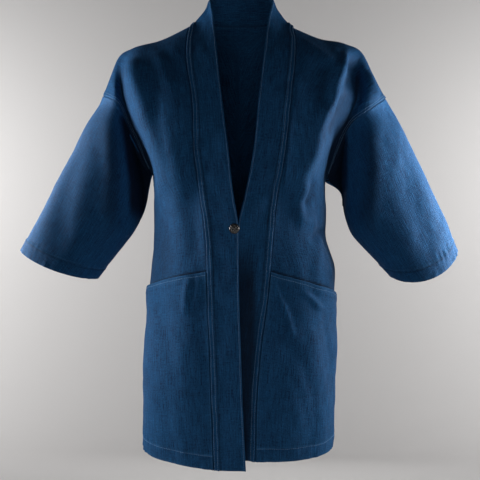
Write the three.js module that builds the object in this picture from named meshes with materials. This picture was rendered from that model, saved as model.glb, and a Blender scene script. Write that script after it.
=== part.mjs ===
// A kimono coat in indigo denim, worn open at the neck and held by one button.
// Millimetres, +Z up. The front of the coat faces -Y, so its right side is at -X.
// The origin is the middle of the neck, at the height of the neck points of the shoulders.
import * as THREE from 'three';

// Cloth, seams and trims
const cloth = 1.6;
const seamGap = 0.3;
const hemDepth = 26;
const hemExtra = 1.2;
const neckPointGap = 1.2;
const bandInside = 1.2;
const bandOutside = 1.9;
const bandCrown = 1;
const neckHollow = { right: -10, left: -6, nape: -4 };
const ridgeWidth = 9.5;
const ridgeRise = 1.4;
const pocketGap = 0.8;
const pocketHem = 14;
const pocketGape = 3.2;
const buttonRadius = 9.4;
const buttonHeight = 7;
const buttonSeat = 0.65;
const buttonPlace = { x: -8, z: -389 };

// The coat from neck point to hem, and where the underarm comes
const fullDrop = 820;
const underarmDrop = 295;
const neckHeight = 5;

// Band: one row for each level down the front. The seam joins it to the front, the edge is its free edge.
const bandRight = [
  { down: 0, seam: [94, 10, 5], edge: [55, 14, 58] },
  { down: 18, seam: [98, -14, -11], edge: [50, -12, 24] },
  { down: 42, seam: [99, -42, -34], edge: [46, -34, -10] },
  { down: 88, seam: [97, -78, -78], edge: [40, -76, -68] },
  { down: 162, seam: [85, -116, -157], edge: [31, -112, -150] },
  { down: 255, seam: [80.5, -133, -250], edge: [18.5, -138, -250] },
  { down: 343, seam: [68, -141, -338], edge: [8.3, -147, -338] },
  { down: 382, seam: [62.3, -143, -377], edge: [1.6, -149, -377] },
  { down: 445, seam: [57.5, -144, -440], edge: [0.2, -150, -440] },
  { down: 520, seam: [55.5, -144, -515], edge: [-0.5, -150, -515] },
  { down: 610, seam: [51.5, -144, -605], edge: [-3.5, -149, -605] },
  { down: 700, seam: [48.5, -142, -697], edge: [-6.5, -147, -697] },
  { down: 820, seam: [44, -140, -817], edge: [-12.5, -144, -818] },
];
const bandLeft = [
  { down: 0, seam: [102, 10, 3], edge: [65, 14, 58] },
  { down: 18, seam: [106, -14, -12], edge: [58, -12, 22] },
  { down: 42, seam: [107, -43, -36], edge: [53, -34, -12] },
  { down: 88, seam: [103.5, -78, -80], edge: [46, -76, -68] },
  { down: 162, seam: [94, -114, -157], edge: [36, -111, -150] },
  { down: 255, seam: [83.6, -131, -250], edge: [26, -135, -249] },
  { down: 343, seam: [67.2, -138, -338], edge: [8.4, -143, -338] },
  { down: 382, seam: [63, -139, -377], edge: [-0.6, -144, -377] },
  { down: 445, seam: [58, -139.5, -440], edge: [-5, -144.5, -440] },
  { down: 520, seam: [51, -139.5, -513], edge: [-10, -144.5, -512] },
  { down: 610, seam: [39, -138, -602], edge: [-20, -136, -600] },
  { down: 700, seam: [32, -135, -690], edge: [-27, -124, -688] },
  { down: 820, seam: [30, -129, -805], edge: [-29, -107, -802] },
];
// Band round the back of the neck: from the middle of the back outwards
const bandNape = {
  centre: { seam: [0, 72, 8], edge: [0, 57, 72] },
  side: { seam: [58, 57, 7], edge: [40, 45, 69] },
};

// Fronts above the underarm: a row for each level, with the points where the cloth turns, [out, y, up]
const frontRightRows = [
  {
    down: 0, breast: [150, 6, -24], brow: [204, 3, -40], crease: [232, 1, -58], cap: [247, 2, -94],
    arm: [262, 4, -130],
  },
  {
    down: 45, breast: [151, -60, -56], brow: [206, -56, -76], crease: [225, -26, -98],
    cap: [236, -38, -118], arm: [243, -32, -141],
  },
  {
    down: 105, breast: [148, -106, -107], brow: [203, -88, -118], crease: [220, -34, -134],
    cap: [224, -38, -145], arm: [227, -44, -154],
  },
  {
    down: 170, breast: [140, -127, -170], brow: [190, -98, -174], crease: [204, -34, -180],
    cap: [207, -30, -185], arm: [211, -34, -191],
  },
  {
    down: 237, breast: [129, -136, -232], brow: [164, -106, -232], crease: [179, -34, -233],
    cap: [182, -24, -237], arm: [187, -20, -241],
  },
  {
    down: 295, breast: [116, -137, -290], brow: [145, -104, -288], crease: [159, -50, -286],
    cap: [163, -22, -284], arm: [166, 4, -283],
  },
];
const frontLeftRows = [
  {
    down: 0, breast: [156, 6, -21], brow: [206, 3, -32], crease: [238, 1, -50], cap: [258, 3, -90],
    arm: [283, 4, -135],
  },
  {
    down: 45, breast: [156, -60, -56], brow: [206, -51, -71], crease: [230, -27, -95],
    cap: [247, -42, -125], arm: [262, -29, -151],
  },
  {
    down: 105, breast: [151, -104, -108], brow: [199, -82, -116], crease: [222, -37, -140],
    cap: [231, -44, -156], arm: [239, -43, -169],
  },
  {
    down: 170, breast: [142, -125, -170], brow: [185, -94, -174], crease: [204, -34, -182],
    cap: [207, -28, -186], arm: [211, -27, -192],
  },
  {
    down: 237, breast: [131, -134, -232], brow: [161, -104, -233], crease: [176, -32, -238],
    cap: [180, -18, -240], arm: [186, -9, -244],
  },
  {
    down: 295, breast: [117, -134, -292], brow: [146, -102, -293], crease: [160, -46, -294],
    cap: [164, -20, -295], arm: [166, 4, -296],
  },
];
// Back above the underarm: the same levels, from the middle of the back outwards
const backRows = [
  { down: 0, centre: [0, 72, 8], nape: [58, 57, 7] },
  {
    down: 45, centre: [0, 86, -36], nape: [50, 83, -36], neck: [98, 66, -38],
    breast: [151, 58, -56], brow: [206, 50, -76], crease: [228, 26, -98], cap: [243, 38, -120],
  },
  {
    down: 105, centre: [0, 98, -96], nape: [50, 99, -96], neck: [99, 96, -98],
    breast: [150, 92, -108], brow: [203, 76, -118], crease: [223, 32, -136], cap: [230, 36, -150],
  },
  {
    down: 170, centre: [0, 106, -162], nape: [50, 108, -162], neck: [98, 107, -164],
    breast: [147, 101, -168], brow: [190, 80, -174], crease: [207, 32, -181], cap: [211, 32, -186],
  },
  {
    down: 237, centre: [0, 109, -228], nape: [50, 111, -228], neck: [94, 108, -230],
    breast: [136, 96, -231], brow: [167, 72, -233], crease: [181, 30, -236], cap: [185, 26, -239],
  },
  {
    down: 295, centre: [0, 109, -286], nape: [46, 110, -286], neck: [88, 105, -287],
    breast: [123, 89, -288], brow: [147, 66, -288], crease: [159, 34, -287], cap: [164, 17, -286],
  },
];
// Where the back ends at the armhole, at the same levels
const backArmRight = [
  [262, 4, -130], [253, 32, -141], [240, 44, -156], [219, 40, -194], [193, 28, -243], [166, 4, -283],
];
const backArmLeft = [
  [283, 4, -135], [268, 32, -152], [250, 46, -170], [224, 42, -204], [194, 28, -250], [166, 4, -296],
];

// Body below the underarm: a row for each ring of cloth, with its half widths, its depths to the front and
// the back, and how much higher its sides hang than its middle
const rings = [
  { down: 355, right: 161.5, left: 166, fore: 146, back: 107, sideUp: 4 },
  { down: 415, right: 162, left: 166, fore: 149, back: 106, sideUp: 3 },
  { down: 465, right: 165.5, left: 181, fore: 150, back: 108, sideUp: 3 },
  { down: 525, right: 171.5, left: 181.5, fore: 150, back: 111, sideUp: 4 },
  { down: 605, right: 176.5, left: 182.5, fore: 149, back: 114, sideUp: 6 },
  { down: 705, right: 179.5, left: 182, fore: 147, back: 117, sideUp: 8 },
  { down: 820, right: 181.5, left: 176.5, fore: 144, back: 119, sideUp: 17 },
];
const ringSquare = 2.5;
const sideLean = 4;

// Sleeves: a row for each ring of cloth from the armhole to the cuff, with its top and under points,
// its depths to the front and the back, and how far these tip down
const sleeveRightRings = [
  { along: 0.22, top: [292, 2, -184], under: [176, 4, -316], fore: 52, back: 46, tilt: 0.1 },
  { along: 0.42, top: [324, -2, -247], under: [182, 0, -350], fore: 50, back: 46, tilt: 0.15 },
  { along: 0.62, top: [357, -6, -312], under: [199, -4, -388], fore: 47, back: 44, tilt: 0.2 },
  { along: 0.82, top: [389, -10, -376], under: [231, -8, -431], fore: 44, back: 42, tilt: 0.28 },
  { along: 1, top: [417, -13, -430], under: [271, -11, -482], fore: 43, back: 41, tilt: 0.26 },
];
const sleeveLeftRings = [
  { along: 0.22, top: [312, 3, -188], under: [197, 2, -318], fore: 50, back: 46, tilt: 0.1 },
  { along: 0.42, top: [342, 0, -250], under: [203, -3, -358], fore: 52, back: 47, tilt: 0.2 },
  { along: 0.62, top: [371, -4, -314], under: [217, -7, -398], fore: 52, back: 48, tilt: 0.35 },
  { along: 0.82, top: [399, -8, -379], under: [250, -11, -434], fore: 52, back: 50, tilt: 0.5 },
  { along: 1, top: [418, -12, -431], under: [286, -13, -472], fore: 53, back: 51, tilt: 0.6 },
];
const sleeveKeen = 0.4;
const underarmGap = { out: 3, down: 1.5 };

// Folds: each is a line seen from the front or the back, from one place to another (x, z), with its width
// and its height. A ridge stands out, a trough is a negative height.
const folds = {
  front_right: [
    { from: [-198, -78], to: [-160, -215], width: 15, height: 9 },
    { from: [-160, -215], to: [-136, -330], width: 17, height: 6 },
    { from: [-172, -50], to: [-134, -165], width: 17, height: -4 },
    { from: [-146, -48], to: [-108, -120], width: 13, height: -4 },
    { from: [-96, -290], to: [-100, -455], width: 22, height: -4 },
    { from: [-150, -330], to: [-120, -640], width: 26, height: -5 },
    { from: [-92, -500], to: [-84, -800], width: 30, height: 5 },
    { from: [-140, -560], to: [-150, -800], width: 26, height: 4 },
  ],
  front_left: [
    { from: [212, -52], to: [182, -132], width: 12, height: 6 },
    { from: [182, -132], to: [143, -226], width: 12, height: 7 },
    { from: [143, -226], to: [120, -300], width: 13, height: 7 },
    { from: [120, -300], to: [104, -372], width: 14, height: 8 },
    { from: [104, -372], to: [140, -380], width: 15, height: 5 },
    { from: [158, -84], to: [146, -170], width: 15, height: -6 },
    { from: [136, -300], to: [118, -352], width: 13, height: -6 },
    { from: [138, -400], to: [142, -505], width: 14, height: 5 },
    { from: [78, -480], to: [96, -640], width: 24, height: -5 },
    { from: [120, -560], to: [140, -800], width: 26, height: 5 },
  ],
  back: [
    { from: [-150, -70], to: [-120, -250], width: 20, height: -6 },
    { from: [158, -80], to: [118, -270], width: 20, height: -6 },
    { from: [-196, -84], to: [-158, -260], width: 15, height: 7 },
    { from: [200, -84], to: [158, -255], width: 15, height: 8 },
    { from: [-70, -260], to: [-92, -790], width: 34, height: 7 },
    { from: [-20, -330], to: [-28, -800], width: 30, height: -7 },
    { from: [48, -290], to: [52, -800], width: 32, height: 8 },
    { from: [104, -420], to: [118, -800], width: 30, height: -6 },
    { from: [-130, -430], to: [-140, -800], width: 24, height: -4 },
  ],
  sleeve_right: [
    { from: [-254, -132], to: [-256, -262], width: 12, height: 5 },
    { from: [-240, -150], to: [-238, -400], width: 16, height: -6 },
    { from: [-196, -330], to: [-250, -458], width: 16, height: 5 },
    { from: [-300, -230], to: [-345, -440], width: 28, height: -3 },
    { from: [-330, -290], to: [-385, -430], width: 24, height: 4 },
  ],
  sleeve_left: [
    { from: [276, -165], to: [342, -320], width: 20, height: 6 },
    { from: [342, -320], to: [395, -455], width: 20, height: 5 },
    { from: [246, -220], to: [262, -430], width: 22, height: -6 },
    { from: [300, -300], to: [336, -450], width: 18, height: -3 },
  ],
};

// The hollow under the arm: inside its edge, from top to low, the front of the sleeve falls towards its back
const armHollows = {
  right: { top: [214, -172], low: [196, -302], soft: 16, depth: 0.6 },
  left: { top: [208, -182], low: [206, -380], soft: 10, depth: 0.7 },
};

// Pocket mouths: height at the band seam and at the side seam
const pocketMouth = {
  front_right: { atBand: 470, atSide: 513, sag: 1 },
  front_left: { atBand: 471, atSide: 526, sag: -3 },
};

// Small maths
const mix = (a, b, t) => a + (b - a) * t;
const clamp = (x, lo, hi) => Math.min(hi, Math.max(lo, x));
const smooth = (x) => {
  const t = clamp(x, 0, 1);
  return t * t * (3 - 2 * t);
};
const toward = (p, side) => [p[0] * side, p[1], p[2]];
const sideSign = { right: -1, left: 1 };

// A smooth curve through points at given knots. A corner given at one knot keeps its two sides apart there.
function hermite(p, q, tp, tq, h, t) {
  const t2 = t * t;
  const t3 = t2 * t;
  return p.map((value, i) => (2 * t3 - 3 * t2 + 1) * value + (t3 - 2 * t2 + t) * h * tp[i]
    + (-2 * t3 + 3 * t2) * q[i] + (t3 - t2) * h * tq[i]);
}

function slopeBetween(knots, points, a, b) {
  return points[a].map((value, i) => (points[b][i] - value) / (knots[b] - knots[a]));
}

function slopeAt(knots, points, k) {
  if (k === 0) return slopeBetween(knots, points, 0, 1);
  if (k === knots.length - 1) return slopeBetween(knots, points, k - 1, k);
  const before = slopeBetween(knots, points, k - 1, k);
  const after = slopeBetween(knots, points, k, k + 1);
  const share = (knots[k] - knots[k - 1]) / (knots[k + 1] - knots[k - 1]);
  return before.map((value, i) => mix(value, after[i], share));
}

function curveAt(knots, points, x, corner = -1, cornerSharp = 0) {
  let k = 0;
  while (k < knots.length - 2 && x > knots[k + 1]) k += 1;
  const h = knots[k + 1] - knots[k];
  const own = slopeBetween(knots, points, k, k + 1);
  const bend = (slope, index) => (
    index === corner ? slope.map((value, i) => mix(value, own[i], cornerSharp)) : slope
  );
  const start = bend(slopeAt(knots, points, k), k);
  const end = bend(slopeAt(knots, points, k + 1), k + 1);
  return hermite(points[k], points[k + 1], start, end, h, (x - knots[k]) / h);
}

// The shared lines of the coat
const fullV = (down) => down / fullDrop;
const underarmV = fullV(underarmDrop);
const bandKnots = bandRight.map((row) => fullV(row.down));

function bandLine(side, line, v) {
  const rows = side === 'right' ? bandRight : bandLeft;
  const before = bandNape.side[line];
  const knots = [-0.035, ...bandKnots];
  const points = [before, ...rows.map((row) => row[line])];
  return curveAt(knots, points, v);
}

// A place on a ring of the body, by its share of the way from the band or the middle of the back to the side
function ringPoint(ring, side, panel, share) {
  const half = ring[side];
  const depth = panel === 'back' ? ring.back : ring.fore;
  const sign = panel === 'back' ? 1 : -1;
  const seam = bandLine(side, 'seam', fullV(ring.down));
  const startX = panel === 'back' ? 0 : seam[0];
  const steps = 40;
  const startAngle = Math.asin((startX / half) ** (ringSquare / 2));
  const outline = [];
  for (let i = 0; i <= steps; i += 1) {
    const angle = mix(startAngle, Math.PI / 2, i / steps);
    const x = half * Math.sin(angle) ** (2 / ringSquare);
    const y = depth * Math.max(0, Math.cos(angle)) ** (2 / ringSquare);
    outline.push([x, sign * y + sideLean * Math.sin(angle) ** 4]);
  }
  const lengths = [0];
  for (let i = 1; i <= steps; i += 1) {
    const [ax, ay] = outline[i - 1];
    const [bx, by] = outline[i];
    lengths.push(lengths[i - 1] + Math.hypot(bx - ax, by - ay));
  }
  const target = share * lengths[steps];
  let i = 0;
  while (i < steps - 1 && lengths[i + 1] < target) i += 1;
  const t = clamp((target - lengths[i]) / (lengths[i + 1] - lengths[i]), 0, 1);
  const low = panel === 'back' ? neckHeight - ring.down + ring.sideUp * 0.6 : seam[2];
  const sideZ = neckHeight - ring.down + ring.sideUp;
  const up = mix(low, sideZ, share ** 0.75);
  return [mix(outline[i][0], outline[i + 1][0], t), mix(outline[i][1], outline[i + 1][1], t), up];
}

function frontRowsOf(side) {
  return side === 'right' ? frontRightRows : frontLeftRows;
}

const frontStations = ['neck', 'breast', 'brow', 'crease', 'cap', 'arm'];
const frontShares = [0, 0.28, 0.56, 0.74, 0.87, 1];
const backStations = ['centre', 'nape', 'neck', 'breast', 'brow', 'crease', 'cap', 'arm'];
const backShares = [0, 0.16, 0.32, 0.5, 0.68, 0.8, 0.9, 1];
const levelKnots = [...frontRightRows, ...rings].map((row) => fullV(row.down));

// The line where a panel ends: the armhole above the underarm, the side seam below it
function armLine(side, panel) {
  const backPoints = side === 'right' ? backArmRight : backArmLeft;
  const upperKnots = frontRightRows.map((row) => fullV(row.down));
  const upper = panel === 'back' ? backPoints : frontRowsOf(side).map((row) => row.arm);
  const lowerKnots = [underarmV, ...rings.map((ring) => fullV(ring.down))];
  const lower = [frontRowsOf(side).at(-1).arm, ...rings.map((ring) => ringPoint(ring, side, 'front', 1))];
  return (v) => (v <= underarmV ? curveAt(upperKnots, upper, v) : curveAt(lowerKnots, lower, v));
}

// One lengthwise line of a panel, with the other panel's first level carried on over the shoulder
function stationColumn(side, panel, station, index) {
  const fronts = frontRowsOf(side);
  const shares = panel === 'back' ? backShares : frontShares;
  const own = panel === 'back' ? backRows : fronts;
  const other = panel === 'back' ? fronts : backRows;
  const shoulderPoint = own[0][station] ?? fronts[0][station];
  const upper = [shoulderPoint, ...own.slice(1).map((row) => row[station])];
  const lower = rings.map((ring) => ringPoint(ring, side, panel, shares[index]));
  const knots = [...levelKnots];
  const points = [...upper, ...lower];
  if (panel === 'front' || own[0][station] === undefined) {
    knots.unshift(-levelKnots[1]);
    points.unshift(other[1][station]);
  }
  return { knots, points };
}

function panelSurface(side, panel) {
  const names = panel === 'back' ? backStations : frontStations;
  const shares = panel === 'back' ? backShares : frontShares;
  const columns = {};
  names.forEach((name, index) => {
    if (name === 'arm') return;
    if (name === 'neck' && panel === 'front') return;
    if (name === 'neck') {
      const first = side === 'right' ? bandRight[0].seam : bandLeft[0].seam;
      const upper = [first, ...backRows.slice(1).map((row) => row.neck)];
      const lower = rings.map((ring) => ringPoint(ring, side, 'back', shares[index]));
      columns.neck = { knots: levelKnots, points: [...upper, ...lower] };
      return;
    }
    columns[name] = stationColumn(side, panel, name, index);
  });
  const cornerIndex = names.indexOf('neck');
  const arm = armLine(side, panel);
  return (u, v) => {
    const points = names.map((name) => {
      if (name === 'arm') return arm(v);
      if (name === 'neck' && panel === 'front') return bandLine(side, 'seam', v);
      return curveAt(columns[name].knots, columns[name].points, v);
    });
    const sharp = panel === 'back' ? clamp(1 - v / 0.07, 0, 1) : 0;
    const corner = panel === 'back' ? cornerIndex : -1;
    return toward(curveAt(shares, points, u, corner, sharp), sideSign[side]);
  };
}

// Folds move the cloth out or in along its own normal
function foldHeight(list, point) {
  let height = 0;
  for (const fold of list) {
    const dx = fold.to[0] - fold.from[0];
    const dz = fold.to[1] - fold.from[1];
    const length = Math.hypot(dx, dz);
    const px = point[0] - fold.from[0];
    const pz = point[2] - fold.from[1];
    const along = (px * dx + pz * dz) / (length * length);
    const across = Math.abs(px * dz - pz * dx) / length;
    if (along > -0.15 && along < 1.15 && across < 3 * fold.width) {
      const ends = smooth((along + 0.15) / 0.4) * smooth((1.15 - along) / 0.4);
      height += fold.height * ends * Math.exp(-((across / fold.width) ** 2));
    }
  }
  return height;
}

const minus = (a, b) => [a[0] - b[0], a[1] - b[1], a[2] - b[2]];
const cross = (a, b) => [a[1] * b[2] - a[2] * b[1], a[2] * b[0] - a[0] * b[2], a[0] * b[1] - a[1] * b[0]];
const scaled = (a, s) => [a[0] * s, a[1] * s, a[2] * s];
const plus = (a, b) => [a[0] + b[0], a[1] + b[1], a[2] + b[2]];
const unit = (a) => scaled(a, 1 / (Math.hypot(...a) || 1));
const distance = (a, b) => Math.hypot(...minus(a, b));

function normalOf(surface, u, v, turn) {
  const du = 0.004;
  const dv = 0.003;
  const u0 = clamp(u - du, 0, 1);
  const u1 = clamp(u + du, 0, 1);
  const v0 = clamp(v - dv, 0, 1);
  const v1 = clamp(v + dv, 0, 1);
  const alongU = minus(surface(u1, v), surface(u0, v));
  const alongV = minus(surface(u, v1), surface(u, v0));
  return scaled(unit(cross(alongU, alongV)), turn);
}

function foldedSurface(base, list, turn, facing) {
  return (u, v) => {
    const point = base(u, v);
    const height = foldHeight(list, point);
    if (Math.abs(height) < 0.01) return point;
    const normal = normalOf(base, u, v, turn);
    const shown = smooth((normal[1] * facing) / 0.5);
    const seamFade = smooth(u / 0.08) * smooth((1 - u) / 0.08) * smooth(v / 0.05);
    return plus(point, scaled(normal, height * shown * seamFade));
  };
}

const frontTurn = { right: 1, left: -1 };
const surfaces = {
  front_right: foldedSurface(panelSurface('right', 'front'), folds.front_right, 1, -1),
  front_left: foldedSurface(panelSurface('left', 'front'), folds.front_left, -1, -1),
  back_right: foldedSurface(panelSurface('right', 'back'), folds.back, -1, 1),
  back_left: foldedSurface(panelSurface('left', 'back'), folds.back, 1, 1),
};

// A closed body from a grid of outer points and the matching inner points
function shellGeometry(outer, inner, roundU = false) {
  const rows = outer.length;
  const columns = outer[0].length;
  const positions = [];
  for (const layer of [outer, inner]) {
    for (const row of layer) {
      for (const point of row) positions.push(...point);
    }
  }
  const faces = [];
  const quad = (a, b, c, d) => faces.push(a, b, c, a, c, d);
  const at = (layer, i, j) => layer * rows * columns + i * columns + (roundU ? j % columns : j);
  const spanU = roundU ? columns : columns - 1;
  for (let i = 0; i < rows - 1; i += 1) {
    for (let j = 0; j < spanU; j += 1) {
      quad(at(0, i, j), at(0, i, j + 1), at(0, i + 1, j + 1), at(0, i + 1, j));
      quad(at(1, i, j), at(1, i + 1, j), at(1, i + 1, j + 1), at(1, i, j + 1));
    }
  }
  for (let j = 0; j < spanU; j += 1) {
    quad(at(0, 0, j), at(1, 0, j), at(1, 0, j + 1), at(0, 0, j + 1));
    quad(at(0, rows - 1, j), at(0, rows - 1, j + 1), at(1, rows - 1, j + 1), at(1, rows - 1, j));
  }
  if (!roundU) {
    for (let i = 0; i < rows - 1; i += 1) {
      quad(at(0, i, 0), at(0, i + 1, 0), at(1, i + 1, 0), at(1, i, 0));
      const last = columns - 1;
      quad(at(0, i, last), at(1, i, last), at(1, i + 1, last), at(0, i + 1, last));
    }
  }
  return outwardGeometry(positions, faces);
}

// Turns the faces round if they enclose a negative volume
function outwardGeometry(positions, faces) {
  let volume = 0;
  const corner = (k) => positions.slice(3 * k, 3 * k + 3);
  for (let f = 0; f < faces.length; f += 3) {
    const [a, b, c] = [corner(faces[f]), corner(faces[f + 1]), corner(faces[f + 2])];
    const n = cross(b, c);
    volume += a[0] * n[0] + a[1] * n[1] + a[2] * n[2];
  }
  const reversed = faces.flatMap((_, k) => (k % 3 === 0 ? [faces[k], faces[k + 2], faces[k + 1]] : []));
  const turned = volume < 0 ? reversed : faces;
  const geometry = new THREE.BufferGeometry();
  geometry.setAttribute('position', new THREE.Float32BufferAttribute(positions, 3));
  geometry.setIndex(turned);
  geometry.computeVertexNormals();
  return geometry;
}

const denim = new THREE.MeshStandardMaterial({
  name: 'indigo_denim', color: 0x24406a, roughness: 0.85, metalness: 0,
});
const buttonMaterial = new THREE.MeshStandardMaterial({
  name: 'dark_button', color: 0x17140f, roughness: 0.35, metalness: 0,
});

function meshOf(name, geometry, material) {
  const mesh = new THREE.Mesh(geometry, material);
  mesh.name = name;
  return mesh;
}

// Grid lines: closer together at the creases and over the shoulder
const spread = (list) => list.flatMap(({ to, steps }, i) => {
  const from = i === 0 ? 0 : list[i - 1].to;
  return Array.from({ length: steps }, (_, k) => mix(from, to, (k + 1) / steps));
});
const frontUs = [0, ...spread([{ to: 0.45, steps: 7 }, { to: 0.92, steps: 11 }, { to: 1, steps: 1 }])];
const backUs = [0, ...spread([{ to: 0.6, steps: 7 }, { to: 0.94, steps: 6 }, { to: 1, steps: 1 }])];
const levelVs = [0, ...spread([
  { to: 0.07, steps: 3 },
  { to: underarmV, steps: 8 },
  { to: 0.94, steps: 10 },
  { to: 1, steps: 2 },
])];

const sleeveColumns = 32;

// Keeps a panel's own edge clear of its neighbour: moves the last lines of the grid in by half a seam gap
function inset(list, atStart, atEnd) {
  return list.map((x) => clamp(x, atStart, 1 - atEnd));
}

const sideNormal = (side, v) => {
  const front = surfaces[`front_${side}`];
  const back = surfaces[`back_${side}`];
  const a = normalOf(front, 1, v, frontTurn[side]);
  const b = normalOf(back, 1, v, -frontTurn[side]);
  return unit(plus(a, b));
};

function hemThickness(v) {
  return cloth / 2 + hemExtra * smooth((v - 1 + (hemDepth + 6) / fullDrop) * fullDrop / 6);
}

function panelLayers(surface, us, vs, turn, edgeNormal) {
  const outer = [];
  const inner = [];
  for (const v of vs) {
    const outerRow = [];
    const innerRow = [];
    for (const u of us) {
      const atSide = edgeNormal !== undefined && u > 0.99 && v > underarmV;
      const normal = atSide ? edgeNormal(v) : normalOf(surface, u, v, turn);
      const point = surface(u, v);
      outerRow.push(plus(point, scaled(normal, cloth / 2)));
      innerRow.push(plus(point, scaled(normal, -hemThickness(v))));
    }
    outer.push(outerRow);
    inner.push(innerRow);
  }
  return { outer, inner };
}

const edgeTrim = 0.0019;
function frontMesh(side) {
  const surface = surfaces[`front_${side}`];
  const us = inset(frontUs, edgeTrim, edgeTrim);
  const vs = inset(levelVs, 0.0009, 0);
  const { outer, inner } = panelLayers(surface, us, vs, frontTurn[side], (v) => sideNormal(side, v));
  return meshOf(`front_${side}`, shellGeometry(outer, inner), denim);
}

function backMesh() {
  const us = inset(backUs, 0, edgeTrim);
  const vs = inset(levelVs, 0.0009, 0);
  const right = panelLayers(surfaces.back_right, us, vs, -1, (v) => sideNormal('right', v));
  const left = panelLayers(surfaces.back_left, us, vs, 1, (v) => sideNormal('left', v));
  const join = (a, b) => a.map((row, i) => [...row.slice(1).reverse(), ...b[i]]);
  return meshOf('back', shellGeometry(join(right.outer, left.outer), join(right.inner, left.inner)), denim);
}

// Sleeve: rings of cloth from the armhole to the cuff, carried on smoothly from the body
function sleeveSurface(side) {
  const ringRows = side === 'right' ? sleeveRightRings : sleeveLeftRings;
  const sign = sideSign[side];
  const bodyAt = (round, share) => {
    const front = round <= 0.5;
    const v = underarmV * (front ? round * 2 : (1 - round) * 2);
    const base = surfaces[`${front ? 'front' : 'back'}_${side}`];
    return base(share, v);
  };
  const knots = [-0.08, 0, ...ringRows.map((ring) => ring.along)];
  return (round, along) => {
    const turn = ((round % 1) + 1) % 1;
    const angle = 2 * Math.PI * turn;
    const start = bodyAt(turn, 1);
    const before = bodyAt(turn, 0.9);
    const under = Math.max(0, -Math.cos(angle)) ** 2;
    const clearStart = plus(start, [sign * underarmGap.out * under, 0, -underarmGap.down * under]);
    const ghost = plus(before, scaled(minus(start, before), 0.6 * under));
    const points = [ghost, clearStart];
    for (const ring of ringRows) {
      const centre = scaled(plus(ring.top, ring.under), 0.5);
      const reach = scaled(minus(ring.top, ring.under), 0.5);
      const depth = Math.sin(angle) > 0 ? ring.fore : ring.back;
      const keen = 1 + sleeveKeen * ring.along;
      const swing = Math.sign(Math.sin(angle)) * Math.abs(Math.sin(angle)) ** keen * depth;
      const point = plus(centre, scaled(reach, Math.cos(angle)));
      points.push(toward([point[0], point[1] - swing, point[2] - swing * ring.tilt], sign));
    }
    return curveAt(knots, points, along);
  };
}

function hollowedSleeve(side) {
  const tube = sleeveSurface(side);
  const { top, low, soft, depth } = armHollows[side];
  return (round, along) => {
    const point = tube(round, along);
    if (((round % 1) + 1) % 1 >= 0.5) return point;
    const fall = (top[1] - point[2]) / (top[1] - low[1]);
    const edge = mix(top[0], low[0], clamp(fall, 0, 1));
    const inward = smooth((edge - sideSign[side] * point[0]) / soft) * smooth(fall / 0.2 + 0.2);
    const other = tube(1 - round, along);
    const share = depth * inward * smooth((along - 0.012) / 0.06);
    return point.map((value, i) => mix(value, other[i], share));
  };
}

function sleeveMesh(side) {
  const turn = side === 'right' ? 1 : -1;
  const plain = hollowedSleeve(side);
  const list = folds[`sleeve_${side}`];
  const surface = (round, along) => {
    const point = plain(round, along);
    const height = foldHeight(list, point) * smooth(along / 0.12);
    if (Math.abs(height) < 0.01) return point;
    const normal = sleeveNormal(plain, round, along, turn);
    return plus(point, scaled(normal, height * smooth(-normal[1] / 0.5)));
  };
  const rounds = Array.from({ length: sleeveColumns }, (_, k) => k / sleeveColumns);
  const alongs = [0.0045, ...spread([{ to: 0.12, steps: 2 }, { to: 0.9, steps: 9 }, { to: 1, steps: 3 }])];
  const cuff = (along) => cloth / 2 + hemExtra * smooth((along - 0.91) / 0.02);
  const outer = [];
  const inner = [];
  for (const along of alongs) {
    outer.push([]);
    inner.push([]);
    for (const round of rounds) {
      const normal = sleeveNormal(surface, round, along, turn);
      const point = surface(round, along);
      outer.at(-1).push(plus(point, scaled(normal, cloth / 2)));
      inner.at(-1).push(plus(point, scaled(normal, -cuff(along))));
    }
  }
  return meshOf(`sleeve_${side}`, shellGeometry(outer, inner, true), denim);
}

function sleeveNormal(surface, round, along, turn) {
  const step = 0.006;
  const a0 = clamp(along - step, 0, 1);
  const a1 = clamp(along + step, 0, 1);
  const alongRound = minus(surface(round + step, along), surface(round - step, along));
  const alongLength = minus(surface(round, a1), surface(round, a0));
  return scaled(unit(cross(alongRound, alongLength)), turn);
}

// Neckband: one strip, from the right hem up round the neck to the left hem
function bandStations() {
  const list = [];
  const frontVs = spread([{ to: 0.3, steps: 14 }, { to: 1, steps: 20 }]);
  [...frontVs].reverse().forEach((v) => list.push({ side: 'right', v }));
  const napeSteps = 12;
  for (let k = 0; k <= napeSteps; k += 1) list.push({ nape: k / napeSteps });
  frontVs.forEach((v) => list.push({ side: 'left', v }));
  return list;
}

function bandPoint(station, line) {
  if (station.side) return toward(bandLine(station.side, line, station.v), sideSign[station.side]);
  if (line === 'seam') {
    const half = Math.abs(station.nape - 0.5) * 2;
    const back = station.nape < 0.5 ? surfaces.back_right : surfaces.back_left;
    return back(half * backShares[2], 0);
  }
  const knots = [-0.2, 0, 0.27, 0.5, 0.73, 1, 1.2];
  const points = [
    toward(bandRight[1][line], -1),
    toward(bandRight[0][line], -1),
    toward(bandNape.side[line], -1),
    bandNape.centre[line],
    bandNape.side[line],
    bandLeft[0][line],
    bandLeft[1][line],
  ];
  return curveAt(knots, points, station.nape);
}

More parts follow.
